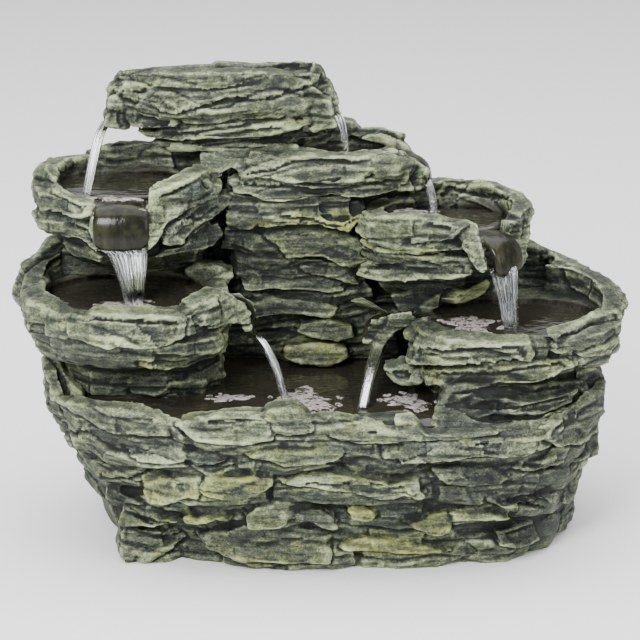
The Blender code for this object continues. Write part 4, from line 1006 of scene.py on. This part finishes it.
def foam_patch(name, middle, half_x, half_y, seed):
    """A thin ragged sheet of bubbles on the water, with small rafts that have drifted off."""
    rng = random.Random(seed)
    bm = bmesh.new()
    rafts = [(0.0, 0.0, FOAM_SHEET)]
    for _ in range(RAFTS):
        turn = rng.uniform(0, 2 * math.pi)
        rafts.append((RAFT_AWAY * math.cos(turn), RAFT_AWAY * math.sin(turn), rng.uniform(*RAFT_SIZES)))
    for off_x, off_y, size in rafts:
        phases = [rng.uniform(0, 2 * math.pi) for _ in FOAM_WAVES]
        centre = Vector((middle.x + half_x * off_x, middle.y + half_y * off_y, middle.z))
        rings = [[], [], []]
        for i in range(FOAM_POINTS):
            turn = 2 * math.pi * i / FOAM_POINTS
            reach = size * (1 + sum(a * math.sin(k * turn + f) for (k, a), f in zip(FOAM_WAVES, phases)))
            out = Vector((half_x * reach * math.cos(turn), half_y * reach * math.sin(turn), 0))
            for ring, share, rise in zip(rings, (1.0, 1.0, 0.8), (-0.001, 0.0002, FOAM_RISE)):
                ring.append(bm.verts.new(centre + out * share + Vector((0, 0, rise))))
        for low, high in zip(rings, rings[1:]):
            for i in range(FOAM_POINTS):
                j = (i + 1) % FOAM_POINTS
                bm.faces.new((low[i], low[j], high[j], high[i]))
        bm.faces.new(rings[-1])
        bm.faces.new(rings[0][::-1])
    mesh = bpy.data.meshes.new(name)
    bm.to_mesh(mesh)
    bm.free()
    return show(name, mesh, [FOAM])


def foam():
    """Foam where the falls land."""
    for number, (name, (pixel, level, half_x, half_y)) in enumerate(FOAM_PATCHES.items()):
        foam_patch(name, at_level(*pixel, level), half_x, half_y, number)


LIP_THICKNESS = 0.008
LIP_STRIPS = 12


def lip(name, centre, direction, path, half_width, bulge):
    """A smooth lip that follows the flow and is rounded across it."""
    turn = math.radians(direction)
    along = Vector((math.cos(turn), math.sin(turn), 0))
    across = Vector((-math.sin(turn), math.cos(turn), 0))
    bm = bmesh.new()
    rings = []
    for i, (distance, z) in enumerate(path):
        before, after = path[max(i - 1, 0)], path[min(i + 1, len(path) - 1)]
        slope = Vector((after[0] - before[0], after[1] - before[1])).normalized()
        inward = along * slope[1] - Vector((0, 0, slope[0]))
        top, low = [], []
        for k in range(LIP_STRIPS + 1):
            s = 2 * k / LIP_STRIPS - 1
            round_off = bulge * (1 - math.sqrt(max(0.0, 1 - (0.96 * s) ** 2)))
            point = Vector((*centre, z)) + along * distance + across * (s * half_width)
            point += inward * round_off
            top.append(bm.verts.new(point))
            low.append(bm.verts.new(point + inward * LIP_THICKNESS))
        rings.append([*top, *reversed(low)])
    for near, far in zip(rings, rings[1:]):
        for i in range(len(near)):
            j = (i + 1) % len(near)
            bm.faces.new((near[i], near[j], far[j], far[i]))
    bm.faces.new(rings[0][::-1])
    bm.faces.new(rings[-1])
    mesh = bpy.data.meshes.new(name)
    bm.to_mesh(mesh)
    bm.free()
    mesh.shade_smooth()
    made = show(name, mesh, [LIP])
    round_it = made.modifiers.new("round", "SUBSURF")
    round_it.levels = round_it.render_levels = 2
    return made


def lips():
    """The smooth lip of each bowl that has one."""
    for node, spec in LIPS.items():
        lip(f"{node}_lip", BOWLS[node][:2], *spec)


# Stones that the photograph shows one by one

class Stone:
    """One stone of a casting, as it is seen in the photograph.

    outline is in pixels, back is how far back its left end, middle and right end lie, depth is how
    far it goes in from there, pale is how much of it is dry-brushed and moss how mossy it is. lean
    is how far back it slopes for its height.
    """

    def __init__(self, outline, back, depth=0.03, pale=0.5, moss=0.2, lean=0.32):
        self.outline = outline
        self.back = back
        self.depth = depth
        self.pale = pale
        self.moss = moss
        self.lean = lean


TOP_ROCKS = {
    "ridge": Stone((
        (115, 74), (145, 68), (187, 65), (210, 65), (217, 60), (252, 63), (314, 60), (322, 70), (328, 82),
        (311, 72), (295, 80), (252, 79), (210, 83), (160, 85), (126, 87), (114, 90), (106, 106),
    ), (0.055, 0.030, 0.055), 0.014, 0.38, 0.20),
    "left lip": Stone((
        (119, 72), (127, 78), (124, 94), (119, 110), (117, 124), (106, 127), (104, 114), (108, 96), (113, 80),
    ), (0.062, 0.054, 0.046), 0.030, 0.42, 0.20, lean=0.0),
    "right lip": Stone((
        (313, 60), (322, 68), (330, 84), (337, 100), (338, 113), (330, 116), (323, 106), (316, 90), (308, 74),
    ), (0.046, 0.054, 0.062), 0.030, 0.42, 0.20, lean=0.0),
    "upper band": Stone((
        (116, 90), (135, 86), (160, 86), (210, 84), (252, 80), (311, 72), (322, 74), (320, 80), (295, 87),
        (274, 95), (231, 97), (210, 101), (189, 107), (175, 113), (161, 112), (159, 105), (143, 102),
        (126, 97),
    ), (0.040, -0.006, 0.040), 0.035, 0.52, 0.30),
    "left band": Stone((
        (128, 110), (143, 112), (175, 117), (179, 122), (177, 129), (160, 130), (130, 128), (127, 120),
    ), (0.030, 0.008, 0.010), 0.040, 0.55, 0.20),
    "middle band": Stone((
        (181, 114), (202, 107), (231, 105), (274, 103), (282, 115), (263, 118), (242, 119), (210, 124),
        (183, 124),
    ), (0.006, 0.000, 0.012), 0.040, 0.42, 0.35),
    "lower band": Stone((
        (135, 131), (179, 130), (210, 125), (252, 120), (299, 113), (314, 114), (309, 124), (284, 130),
        (242, 139), (227, 141), (202, 138), (179, 141), (147, 139),
    ), (0.035, 0.004, 0.035), 0.045, 0.56, 0.35),
    "foot": Stone((
        (147, 141), (179, 142), (227, 142), (295, 133), (307, 128), (299, 143), (274, 147), (189, 148),
        (160, 147),
    ), (0.045, 0.020, 0.045), 0.040, 0.15, 0.05),
}

SMALL_BOWL_ROCKS = {
    "back": Stone((
        (312, 126), (327, 122), (347, 121), (358, 124), (357, 128), (352, 134), (347, 138), (327, 142),
        (302, 151), (308, 138),
    ), (0.088, 0.086, 0.088), 0.020, 0.35, 0.15),
    "spout": Stone((
        (352, 135), (378, 134), (391, 140), (404, 144), (412, 151), (419, 163), (423, 176), (424, 183),
        (422, 190), (416, 192), (412, 182), (404, 163), (395, 150), (381, 144), (361, 140),
    ), (0.070, 0.050, 0.030), 0.035, 0.40, 0.30),
    "slope": Stone((
        (200, 149), (296, 146), (302, 151), (270, 166), (242, 172), (228, 165), (221, 178), (213, 179),
        (200, 172),
    ), (0.030, 0.012, 0.010), 0.030, 0.50, 0.0),
    "front": Stone((
        (242, 172), (246, 169), (270, 166), (289, 156), (310, 155), (336, 156), (370, 158), (395, 151),
        (397, 159), (383, 167), (370, 172), (361, 181), (349, 184), (319, 184), (291, 183), (272, 179),
        (240, 178), (235, 172),
    ), (0.012, -0.018, 0.014), 0.040, 0.66, 0.15),
    "lower front": Stone((
        (225, 180), (236, 178), (272, 180), (293, 184), (319, 185), (349, 184), (381, 177), (400, 176),
        (412, 182), (415, 191), (398, 191), (381, 195), (357, 198), (330, 195), (319, 199), (285, 202),
        (262, 201), (249, 194), (234, 192),
    ), (0.006, -0.018, 0.014), 0.035, 0.48, 0.25),
}

FACE_ROCKS = {
    "flat slab": Stone((
        (264, 206), (359, 201), (368, 208), (357, 216), (347, 222), (332, 216), (319, 212), (274, 209),
    ), (-0.006, -0.010, 0.010), 0.040, 0.10, 0.05),
    "yellow edge": Stone((
        (256, 219), (264, 211), (289, 213), (315, 213), (327, 220), (344, 223), (361, 213), (368, 216),
        (355, 225), (349, 233), (332, 229), (319, 225), (289, 226), (264, 227), (256, 226),
    ), (-0.004, -0.020, 0.000), 0.040, 0.62, 0.70),
    "slanting ledge": Stone((
        (262, 229), (285, 228), (319, 229), (336, 233), (357, 237), (364, 248), (361, 257), (378, 257),
        (366, 263), (351, 268), (338, 265), (323, 259), (306, 257), (287, 259), (279, 248), (266, 237),
    ), (-0.002, -0.008, 0.000), 0.040, 0.30, 0.45),
    "low ledge": Stone((
        (298, 266), (306, 262), (332, 264), (349, 270), (357, 278), (361, 286), (336, 280), (319, 276),
        (302, 271),
    ), (0.010, 0.010, 0.010), 0.030, 0.40, 0.45),
    "pale edge": Stone((
        (240, 283), (262, 280), (300, 281), (330, 285), (345, 290), (330, 293), (296, 289), (262, 290),
        (243, 292),
    ), (0.016, 0.014, 0.016), 0.030, 0.50, 0.30),
    "low left slab": Stone((
        (245, 305), (270, 298), (310, 300), (338, 308), (330, 318), (300, 314), (268, 316), (250, 320),
    ), (0.022, 0.022, 0.022), 0.030, 0.25, 0.30),
    "low right slab": Stone((
        (300, 322), (330, 320), (352, 326), (356, 338), (338, 342), (312, 338), (296, 332),
    ), (0.020, 0.020, 0.020), 0.030, 0.25, 0.45),
    "foot": Stone((
        (286, 347), (318, 344), (345, 349), (352, 358), (330, 365), (300, 365), (283, 358),
    ), (0.020, 0.018, 0.020), 0.030, 0.35, 0.55),
}

MIDDLE_BOWL_ROCKS = {
    "front": Stone((
        (354, 231), (368, 226), (385, 219), (412, 222), (434, 220), (455, 224), (470, 225), (461, 231),
        (455, 240), (440, 242), (412, 242), (391, 240), (361, 237),
    ), (-0.010, -0.072, -0.094), 0.035, 0.48, 0.20),
    "lower front": Stone((
        (359, 240), (391, 241), (412, 243), (440, 243), (461, 246), (468, 250), (455, 251), (423, 250),
        (402, 251), (383, 252), (370, 248),
    ), (-0.004, -0.070, -0.086), 0.035, 0.52, 0.50),
    "claw": Stone((
        (468, 225), (476, 229), (483, 242), (487, 259), (489, 271), (483, 275), (474, 271), (470, 259),
        (461, 246), (459, 235),
    ), (-0.090, -0.097, -0.100), 0.032, 0.66, 0.10),
    "pale face": Stone((
        (355, 276), (361, 265), (381, 259), (412, 257), (455, 258), (472, 259), (474, 274), (455, 279),
        (423, 281), (385, 282), (368, 280),
    ), (-0.004, -0.066, -0.078), 0.040, 0.58, 0.25),
    "right rim": Stone((
        (425, 179), (444, 179), (468, 183), (491, 191), (512, 192), (525, 197), (534, 208), (535, 220),
        (530, 235), (529, 254), (525, 262), (519, 266), (518, 250), (514, 223), (506, 216), (493, 208),
        (468, 203), (444, 199), (425, 195), (423, 189),
    ), (0.072, 0.064, -0.020), 0.030, 0.48, 0.35),
    "rim end": Stone((
        (514, 220), (534, 216), (530, 237), (529, 257), (519, 267), (517, 246),
    ), (-0.030, -0.034, -0.026), 0.034, 0.68, 0.05),
}

HIGH_LEFT_ROCKS = {
    "left lump": Stone((
        (31, 175), (45, 168), (58, 180), (54, 190), (62, 195), (60, 214), (47, 211), (33, 202), (30, 190),
    ), (0.000, -0.020, -0.050), 0.040, 0.45, 0.25),
    "front left": Stone((
        (54, 190), (81, 201), (94, 203), (94, 213), (81, 218), (62, 216), (47, 210),
    ), (-0.050, -0.086, -0.098), 0.022, 0.62, 0.05),
    "back left": Stone((
        (45, 168), (60, 160), (78, 157), (88, 160), (85, 168), (72, 172), (60, 180),
    ), (0.020, 0.055, 0.075), 0.030, 0.35, 0.40),
    "back right": Stone((
        (172, 146), (190, 148), (204, 152), (206, 168), (192, 176), (174, 166),
    ), (0.070, 0.072, 0.074), 0.024, 0.20, 0.15, lean=0.0),
    "lower left": Stone((
        (41, 211), (62, 219), (81, 219), (91, 225), (100, 231), (105, 252), (94, 250), (81, 239), (62, 237),
        (52, 230), (41, 223),
    ), (-0.030, -0.075, -0.098), 0.040, 0.50, 0.25),
    "cheek": Stone((
        (94, 204), (100, 225), (105, 253), (97, 247), (89, 231), (92, 217),
    ), (-0.102, -0.104, -0.106), 0.040, 0.50, 0.10),
    "right of the lip": Stone((
        (147, 195), (158, 191), (180, 181), (203, 181), (223, 185), (220, 195), (203, 203), (181, 216),
        (164, 227), (158, 241), (150, 250), (148, 244), (149, 220),
    ), (-0.104, -0.082, -0.026), 0.050, 0.58, 0.35),
    "second right": Stone((
        (161, 244), (164, 228), (181, 217), (203, 205), (225, 194), (234, 197), (225, 212), (203, 225),
        (192, 233), (183, 244), (169, 248),
    ), (-0.092, -0.062, -0.012), 0.045, 0.35, 0.25),
    "third right": Stone((
        (150, 259), (162, 250), (183, 245), (192, 234), (203, 227), (219, 223), (223, 237), (214, 247),
        (187, 253), (166, 256),
    ), (-0.080, -0.050, -0.008), 0.040, 0.22, 0.15),
    "under the lip": Stone((
        (62, 243), (81, 241), (94, 250), (104, 256), (102, 262), (88, 260), (72, 256),
    ), (-0.020, -0.050, -0.070), 0.040, 0.30, 0.20),
}

LOW_LEFT_ROCKS = {
    "back left": Stone((
        (17, 270), (31, 259), (44, 244), (62, 237), (69, 242), (59, 248), (62, 256), (58, 266), (52, 272),
        (28, 273), (20, 275),
    ), (-0.030, 0.010, 0.040), 0.040, 0.40, 0.15),
    "inner left": Stone((
        (58, 250), (69, 241), (81, 241), (94, 248), (106, 256), (108, 274), (84, 276), (60, 275),
    ), (0.034, 0.036, 0.040), 0.030, 0.22, 0.20),
    "outer left": Stone((
        (19, 272), (28, 275), (28, 290), (31, 319), (22, 308), (13, 298), (14, 284),
    ), (-0.020, -0.030, -0.045), 0.050, 0.38, 0.05),
    "left cheek": Stone((
        (28, 290), (42, 308), (64, 317), (82, 313), (83, 325), (75, 335), (62, 336), (52, 331), (31, 319),
        (25, 309),
    ), (-0.055, -0.112, -0.155), 0.045, 0.45, 0.35),
    "front": Stone((
        (83, 320), (89, 312), (109, 313), (141, 315), (180, 316), (187, 319), (184, 336), (173, 344),
        (156, 350), (137, 350), (119, 344), (100, 341), (87, 334), (82, 327),
    ), (-0.168, -0.192, -0.168), 0.045, 0.72, 0.30),
    "front right": Stone((
        (181, 311), (195, 303), (214, 297), (230, 300), (244, 312), (248, 322), (231, 323), (216, 328),
        (195, 325), (186, 319),
    ), (-0.152, -0.122, -0.082), 0.045, 0.64, 0.22),
    "first ledge": Stone((
        (150, 352), (175, 345), (187, 336), (216, 333), (228, 336), (227, 344), (203, 347), (180, 355),
        (156, 356),
    ), (-0.165, -0.142, -0.098), 0.040, 0.48, 0.70),
    "second ledge": Stone((
        (137, 359), (156, 358), (180, 356), (203, 348), (228, 344), (225, 353), (203, 359), (187, 367),
        (169, 371), (150, 369), (141, 364),
    ), (-0.170, -0.148, -0.098), 0.045, 0.50, 0.60),
    "left ledge": Stone((
        (61, 348), (78, 348), (92, 349), (108, 344), (106, 358), (97, 356), (81, 359), (67, 358),
    ), (-0.100, -0.130, -0.155), 0.045, 0.50, 0.45),
    "under the left cheek": Stone((
        (48, 337), (62, 340), (75, 339), (100, 345), (136, 352), (140, 362), (112, 366), (84, 361), (60, 352),
        (50, 345),
    ), (-0.060, -0.110, -0.150), 0.045, 0.22, 0.15),
    "by the upper wall": Stone((
        (186, 269), (195, 264), (222, 266), (233, 273), (231, 280), (214, 289), (203, 289), (187, 278),
    ), (0.010, 0.000, 0.005), 0.035, 0.42, 0.25),
    "pedestal face": Stone((
        (124, 382), (134, 376), (158, 374), (170, 379), (170, 392), (156, 398), (136, 395), (126, 390),
    ), (-0.105, -0.112, -0.108), 0.030, 0.34, 0.0),
    "pedestal side": Stone((
        (172, 380), (184, 374), (191, 378), (190, 386), (180, 392), (172, 388),
    ), (-0.100, -0.092, -0.080), 0.030, 0.40, 0.0),
}

LOW_RIGHT_ROCKS = {
    "back rim": Stone((
        (531, 246), (547, 251), (559, 259), (580, 266), (601, 276), (617, 287), (628, 299), (628, 306),
        (619, 316), (609, 314), (591, 312), (590, 299), (580, 285), (572, 270), (562, 265), (549, 264),
        (535, 256),
    ), (0.088, 0.050, -0.035), 0.035, 0.40, 0.20),
    "right rim": Stone((
        (545, 336), (572, 326), (592, 316), (613, 315), (617, 324), (617, 343), (609, 346), (582, 350),
        (561, 356), (553, 353), (552, 339),
    ), (-0.172, -0.135, -0.082), 0.040, 0.62, 0.20),
    "front": Stone((
        (404, 363), (407, 351), (413, 344), (438, 347), (485, 343), (531, 342), (536, 355), (531, 363),
        (516, 360), (491, 363), (454, 365), (407, 367),
    ), (-0.118, -0.178, -0.184), 0.045, 0.55, 0.30),
    "bump": Stone((
        (402, 334), (413, 331), (438, 332), (450, 336), (444, 343), (415, 342), (404, 341),
    ), (-0.100, -0.122, -0.132), 0.030, 0.32, 0.60),
    "lower front": Stone((
        (421, 370), (454, 369), (504, 365), (543, 361), (566, 358), (577, 368), (562, 370), (543, 383),
        (514, 384), (491, 384), (454, 384), (427, 387), (423, 380),
    ), (-0.128, -0.178, -0.160), 0.045, 0.52, 0.50),
    "lower right": Stone((
        (574, 359), (592, 351), (607, 353), (609, 363), (590, 368), (576, 367),
    ), (-0.140, -0.112, -0.075), 0.040, 0.40, 0.15),
    "lower left": Stone((
        (382, 369), (404, 363), (421, 370), (423, 384), (407, 384), (394, 382), (386, 376),
    ), (-0.092, -0.100, -0.122), 0.040, 0.38, 0.10),
    "fang": Stone((
        (347, 305), (361, 303), (376, 309), (392, 313), (388, 322), (382, 328), (375, 325), (360, 314),
    ), (-0.030, -0.036, -0.044), 0.030, 0.26, 0.38),
    "spout cheek": Stone((
        (388, 314), (400, 312), (413, 310), (415, 321), (406, 327), (399, 331), (388, 340), (376, 352),
        (373, 345), (380, 330),
    ), (-0.044, -0.049, -0.053), 0.012, 0.42, 0.35, lean=0.0),
    "over the band": Stone((
        (388, 296), (412, 286), (474, 278), (488, 281), (470, 294), (440, 299), (420, 308), (398, 311),
    ), (0.006, 0.004, 0.006), 0.030, 0.10, 0.15),
    "yellow band": Stone((
        (420, 303), (435, 296), (450, 293), (466, 291), (487, 280), (489, 284), (484, 293), (466, 303),
        (446, 307), (434, 309), (422, 312),
    ), (-0.004, -0.010, 0.000), 0.030, 0.34, 0.50),
    "behind the middle bowl": Stone((
        (516, 238), (532, 243), (548, 252), (566, 264), (566, 288), (545, 297), (518, 298),
    ), (0.088, 0.090, 0.092), 0.020, 0.20, 0.20, lean=0.0),
    # The pedestal lies in the shaded recess under the bowl: its low pale paints that shade onto the stone
    "pedestal": Stone((
        (431, 432), (434, 408), (446, 388), (486, 382), (540, 384), (584, 380), (596, 396), (590, 424),
        (540, 440), (462, 444),
    ), (-0.198, -0.204, -0.105), 0.070, 0.10, 0.35, lean=0.7),
    "pedestal, ledge": Stone((
        (448, 404), (490, 398), (530, 402), (560, 396), (580, 388), (574, 404), (540, 414), (500, 416),
        (462, 414),
    ), (-0.170, -0.206, -0.140), 0.040, 0.22, 0.35),
}

BASE_ROCKS = {
    "left rim": Stone((
        (41, 359), (54, 357), (60, 363), (64, 374), (74, 386), (80, 395), (86, 412), (86, 431), (77, 432),
        (67, 430), (65, 421), (58, 414), (58, 406), (49, 405), (45, 399), (41, 384), (44, 374),
    ), (-0.010, -0.095, -0.165), 0.045, 0.44, 0.35),
    "rim, first": Stone((
        (86, 431), (94, 432), (118, 425), (120, 416), (103, 413), (86, 416),
    ), (-0.165, -0.182, -0.200), 0.035, 0.46, 0.20),
    "rim, second": Stone((
        (120, 416), (142, 414), (159, 416), (165, 423), (169, 438), (161, 437), (142, 435), (127, 433),
        (118, 427),
    ), (-0.200, -0.216, -0.226), 0.035, 0.50, 0.30),
    "rim, third": Stone((
        (176, 425), (186, 421), (210, 419), (232, 417), (257, 416), (266, 416), (272, 421), (274, 432),
        (271, 442), (257, 444), (232, 445), (210, 443), (197, 442), (188, 438), (182, 431),
    ), (-0.230, -0.240, -0.242), 0.040, 0.64, 0.28),
    "rim, fourth": Stone((
        (262, 416), (270, 411), (287, 408), (300, 410), (309, 415), (314, 421), (311, 431), (300, 434),
        (287, 435), (274, 432), (271, 425),
    ), (-0.238, -0.242, -0.240), 0.040, 0.50, 0.32),
    "rim, smooth": Stone((
        (318, 424), (334, 421), (360, 419), (390, 418), (410, 419), (424, 423), (432, 429), (434, 436),
        (417, 430), (394, 432), (380, 427), (349, 427), (330, 434), (316, 434),
    ), (-0.226, -0.228, -0.220), 0.030, 0.12, 0.35),
    "rim, fifth": Stone((
        (330, 434), (349, 427), (380, 427), (394, 432), (417, 426), (431, 429), (436, 438), (415, 440),
        (388, 444), (355, 445), (340, 441),
    ), (-0.242, -0.248, -0.240), 0.035, 0.48, 0.38),
    "blue slope": Stone((
        (382, 446), (404, 440), (428, 438), (432, 448), (418, 456), (398, 462), (384, 458),
    ), (-0.240, -0.240, -0.238), 0.035, 0.42, 0.0),
    "rim, sixth": Stone((
        (435, 446), (446, 438), (477, 437), (530, 438), (537, 444), (535, 454), (524, 458), (485, 458),
        (454, 461), (431, 465), (423, 458),
    ), (-0.240, -0.236, -0.212), 0.035, 0.48, 0.10),
    "pale chip": Stone((
        (398, 461), (407, 455), (421, 455), (429, 465), (415, 466), (400, 466),
    ), (-0.247, -0.247, -0.244), 0.025, 0.95, 0.20),
    "right rim": Stone((
        (545, 429), (562, 413), (578, 403), (595, 403), (600, 423), (599, 436), (582, 444), (557, 448),
        (543, 438),
    ), (-0.205, -0.165, -0.080), 0.040, 0.48, 0.30),
    "right corner": Stone((
        (576, 370), (595, 369), (607, 388), (601, 401), (582, 405), (570, 392),
    ), (-0.120, -0.085, -0.040), 0.040, 0.40, 0.05),
    "under the right rim": Stone((
        (537, 452), (560, 447), (584, 443), (599, 438), (598, 455), (582, 462), (556, 466), (530, 470),
        (512, 468), (520, 460),
    ), (-0.208, -0.165, -0.080), 0.035, 0.25, 0.35),
    "second course, left": Stone((
        (72, 436), (84, 440), (96, 444), (118, 444), (129, 455), (142, 462), (150, 466), (142, 470),
        (129, 476), (112, 477), (96, 476), (84, 462), (76, 450),
    ), (-0.110, -0.160, -0.195), 0.040, 0.36, 0.40),
    "second course, pale": Stone((
        (122, 446), (135, 445), (161, 446), (178, 446), (188, 455), (191, 461), (169, 464), (154, 463),
        (141, 460), (131, 455),
    ), (-0.200, -0.216, -0.224), 0.035, 0.68, 0.15),
    "second course, dark": Stone((
        (189, 453), (199, 451), (216, 455), (227, 461), (217, 466), (195, 468), (187, 461),
    ), (-0.226, -0.230, -0.232), 0.035, 0.34, 0.0),
    "second course, middle": Stone((
        (246, 457), (259, 452), (283, 450), (311, 451), (330, 447), (342, 451), (344, 456), (338, 462),
        (322, 466), (300, 468), (283, 468), (270, 463), (250, 460),
    ), (-0.240, -0.246, -0.244), 0.035, 0.70, 0.55),
    "third course, far left": Stone((
        (92, 480), (116, 480), (122, 492), (134, 498), (142, 504), (120, 504), (106, 500), (98, 490),
    ), (-0.130, -0.160, -0.180), 0.040, 0.15, 0.05),
    "third course, left": Stone((
        (142, 492), (146, 483), (159, 479), (180, 477), (199, 477), (201, 481), (200, 492), (197, 500),
        (189, 498), (174, 503), (161, 505), (148, 504),
    ), (-0.200, -0.218, -0.226), 0.040, 0.56, 0.65),
    "third course, yellow": Stone((
        (201, 492), (201, 485), (210, 479), (229, 479), (249, 477), (272, 477), (274, 485), (262, 494),
        (249, 500), (234, 503), (219, 501), (208, 498),
    ), (-0.228, -0.236, -0.240), 0.040, 0.50, 0.70),
    "third course, long": Stone((
        (281, 485), (296, 479), (312, 476), (330, 475), (349, 476), (366, 478), (381, 481), (392, 485),
        (404, 483), (419, 482), (421, 491), (430, 499), (418, 500), (404, 495), (396, 502), (379, 501),
        (357, 496), (334, 491), (310, 486), (296, 487),
    ), (-0.238, -0.246, -0.236), 0.035, 0.66, 0.40),
    "third course, right": Stone((
        (432, 470), (460, 466), (490, 468), (510, 478), (500, 486), (470, 488), (445, 484),
    ), (-0.232, -0.228, -0.218), 0.035, 0.20, 0.10),
    "third course, far right": Stone((
        (486, 498), (498, 492), (520, 492), (553, 485), (578, 480), (580, 490), (570, 506), (546, 500),
        (520, 504), (505, 508), (492, 504),
    ), (-0.212, -0.180, -0.095), 0.040, 0.30, 0.15),
    "fourth course, left": Stone((
        (107, 506), (120, 506), (135, 509), (152, 513), (161, 517), (180, 519), (178, 524), (161, 526),
        (144, 528), (124, 526), (112, 521), (106, 513),
    ), (-0.130, -0.180, -0.205), 0.040, 0.48, 0.50),
    "fourth course, bead": Stone((
        (180, 519), (189, 515), (197, 519), (208, 515), (225, 515), (232, 521), (229, 523), (217, 520),
        (204, 523), (197, 525), (186, 525),
    ), (-0.205, -0.212, -0.216), 0.035, 0.55, 0.75),
    "fourth course, pale": Stone((
        (243, 519), (247, 513), (257, 508), (270, 507), (287, 509), (300, 515), (289, 526), (279, 530),
        (262, 530), (247, 530),
    ), (-0.222, -0.228, -0.226), 0.035, 0.68, 0.50),
    "fourth course, dark": Stone((
        (281, 524), (291, 515), (306, 509), (322, 509), (334, 519), (338, 530), (321, 528), (310, 523),
    ), (-0.226, -0.230, -0.228), 0.035, 0.40, 0.15),
    "fourth course, patch": Stone((
        (347, 511), (362, 509), (376, 513), (377, 519), (366, 522), (351, 519),
    ), (-0.226, -0.226, -0.224), 0.030, 0.50, 0.75),
    "fourth course, mossy": Stone((
        (404, 523), (417, 522), (430, 515), (449, 511), (452, 522), (449, 532), (441, 537), (426, 536),
        (415, 530),
    ), (-0.218, -0.220, -0.212), 0.035, 0.45, 0.70),
    "fourth course, thin": Stone((
        (449, 511), (469, 514), (490, 513), (511, 519), (509, 521), (490, 520), (469, 521), (453, 523),
    ), (-0.214, -0.208, -0.198), 0.030, 0.55, 0.50),
    "fifth course, right": Stone((
        (494, 532), (516, 524), (546, 515), (563, 513), (557, 524), (541, 541), (516, 549), (499, 545),
    ), (-0.190, -0.160, -0.110), 0.040, 0.18, 0.10),
    "toe, left": Stone((
        (120, 526), (135, 530), (161, 532), (176, 528), (189, 528), (186, 536), (172, 549), (161, 554),
        (142, 564), (135, 554), (124, 539),
    ), (-0.150, -0.170, -0.165), 0.045, 0.46, 0.45),
    "bottom course": Stone((
        (195, 536), (217, 530), (261, 532), (330, 537), (330, 564), (300, 564), (272, 564), (240, 562),
        (221, 556), (206, 549),
    ), (-0.188, -0.200, -0.206), 0.040, 0.42, 0.50),
    "bottom, yellow": Stone((
        (342, 543), (357, 539), (381, 539), (404, 541), (422, 545), (449, 551), (452, 554), (422, 553),
        (385, 554), (340, 549),
    ), (-0.206, -0.204, -0.198), 0.030, 0.50, 0.80),
}


# Castings

# Blocks that the fittings need flat or clear: their solid's faces stay as they are
DOOR_FRAME = ((-0.121, 0.196, 0.200), (0.121, 0.240, 0.416))
DRAIN_BOSS = ((0.084, 0.170, 0.008), (0.136, 0.240, 0.056))
RESERVOIR = ((-0.300, -0.150, 0.001), (0.310, 0.150, 0.199))
SHELL_FRONT = ((-0.300, 0.090, 0.180), (0.300, 0.112, 0.600))


def castings():
    """Every casting of the fountain, weathered."""
    carve("base_basin", BASE_ROCKS.values(), (DRAIN_BOSS, RESERVOIR), seed=100)
    carve("left_lower_bowl", LOW_LEFT_ROCKS.values(), seed=200)
    carve("left_upper_bowl", HIGH_LEFT_ROCKS.values(), seed=300)
    carve("right_lower_bowl", LOW_RIGHT_ROCKS.values(), seed=400)
    carve("right_middle_bowl", MIDDLE_BOWL_ROCKS.values(), seed=500)
    carve("right_small_bowl", SMALL_BOWL_ROCKS.values(), seed=600)
    carve("rock_face", FACE_ROCKS.values(), plain_pale=0.12, seed=700)
    carve("rear_shell", calm_blocks=(DOOR_FRAME, SHELL_FRONT), seed=800)
    carve("top_stone", TOP_ROCKS.values(), seed=900)


# Studio

FLOOR_HALF = 6.0


def stage():
    """A plain pale floor under soft light."""
    mesh = bpy.data.meshes.new("floor")
    corners = [(x * FLOOR_HALF, y * FLOOR_HALF, 0) for x, y in ((-1, -1), (1, -1), (1, 1), (-1, 1))]
    mesh.from_pydata(corners, [], [(0, 1, 2, 3)])
    floor = bpy.data.objects.new("floor", mesh)
    bpy.context.scene.collection.objects.link(floor)
    n = Nodes("floor_paper")
    mesh.materials.append(n.finish(base_color=(0.96, 0.965, 0.96), roughness=0.9))


def light(name, place, target, size, power):
    """A square soft light that faces its target."""
    lamp = bpy.data.lights.new(name, "AREA")
    lamp.size = size
    lamp.energy = power
    made = bpy.data.objects.new(name, lamp)
    made.location = place
    made.rotation_euler = (Vector(target) - Vector(place)).to_track_quat("-Z", "Y").to_euler()
    bpy.context.scene.collection.objects.link(made)


def studio():
    """Soft daylight all round, a large light overhead, a key light on the left and a weak fill."""
    world = bpy.data.worlds.new("studio")
    world.use_nodes = True
    background = world.node_tree.nodes["Background"]
    background.inputs["Color"].default_value = (0.97, 0.985, 1.0, 1.0)
    background.inputs["Strength"].default_value = 0.75
    bpy.context.scene.world = world
    light("overhead", (0.0, 0.6, 3.4), (0, 0.6, 0), 4.5, 200)
    light("key", (-1.2, -2.8, 2.2), (0, 0, 0.3), 1.3, 150)
    light("fill", (2.2, -2.2, 1.4), (0, 0, 0.3), 1.6, 25)


def camera():
    """The photograph's own view."""
    lens = bpy.data.cameras.new("camera")
    lens.sensor_width = SENSOR
    lens.lens = FOCAL_PIXELS / PICTURE * SENSOR
    made = bpy.data.objects.new("camera", lens)
    made.location = EYE
    made.rotation_euler = (math.pi / 2 - ELEVATION, 0, 0)
    bpy.context.scene.collection.objects.link(made)
    bpy.context.scene.camera = made


camera()
stage()
studio()
finish_fittings()
castings()
fill_bowls()
lips()
pour()
foam()
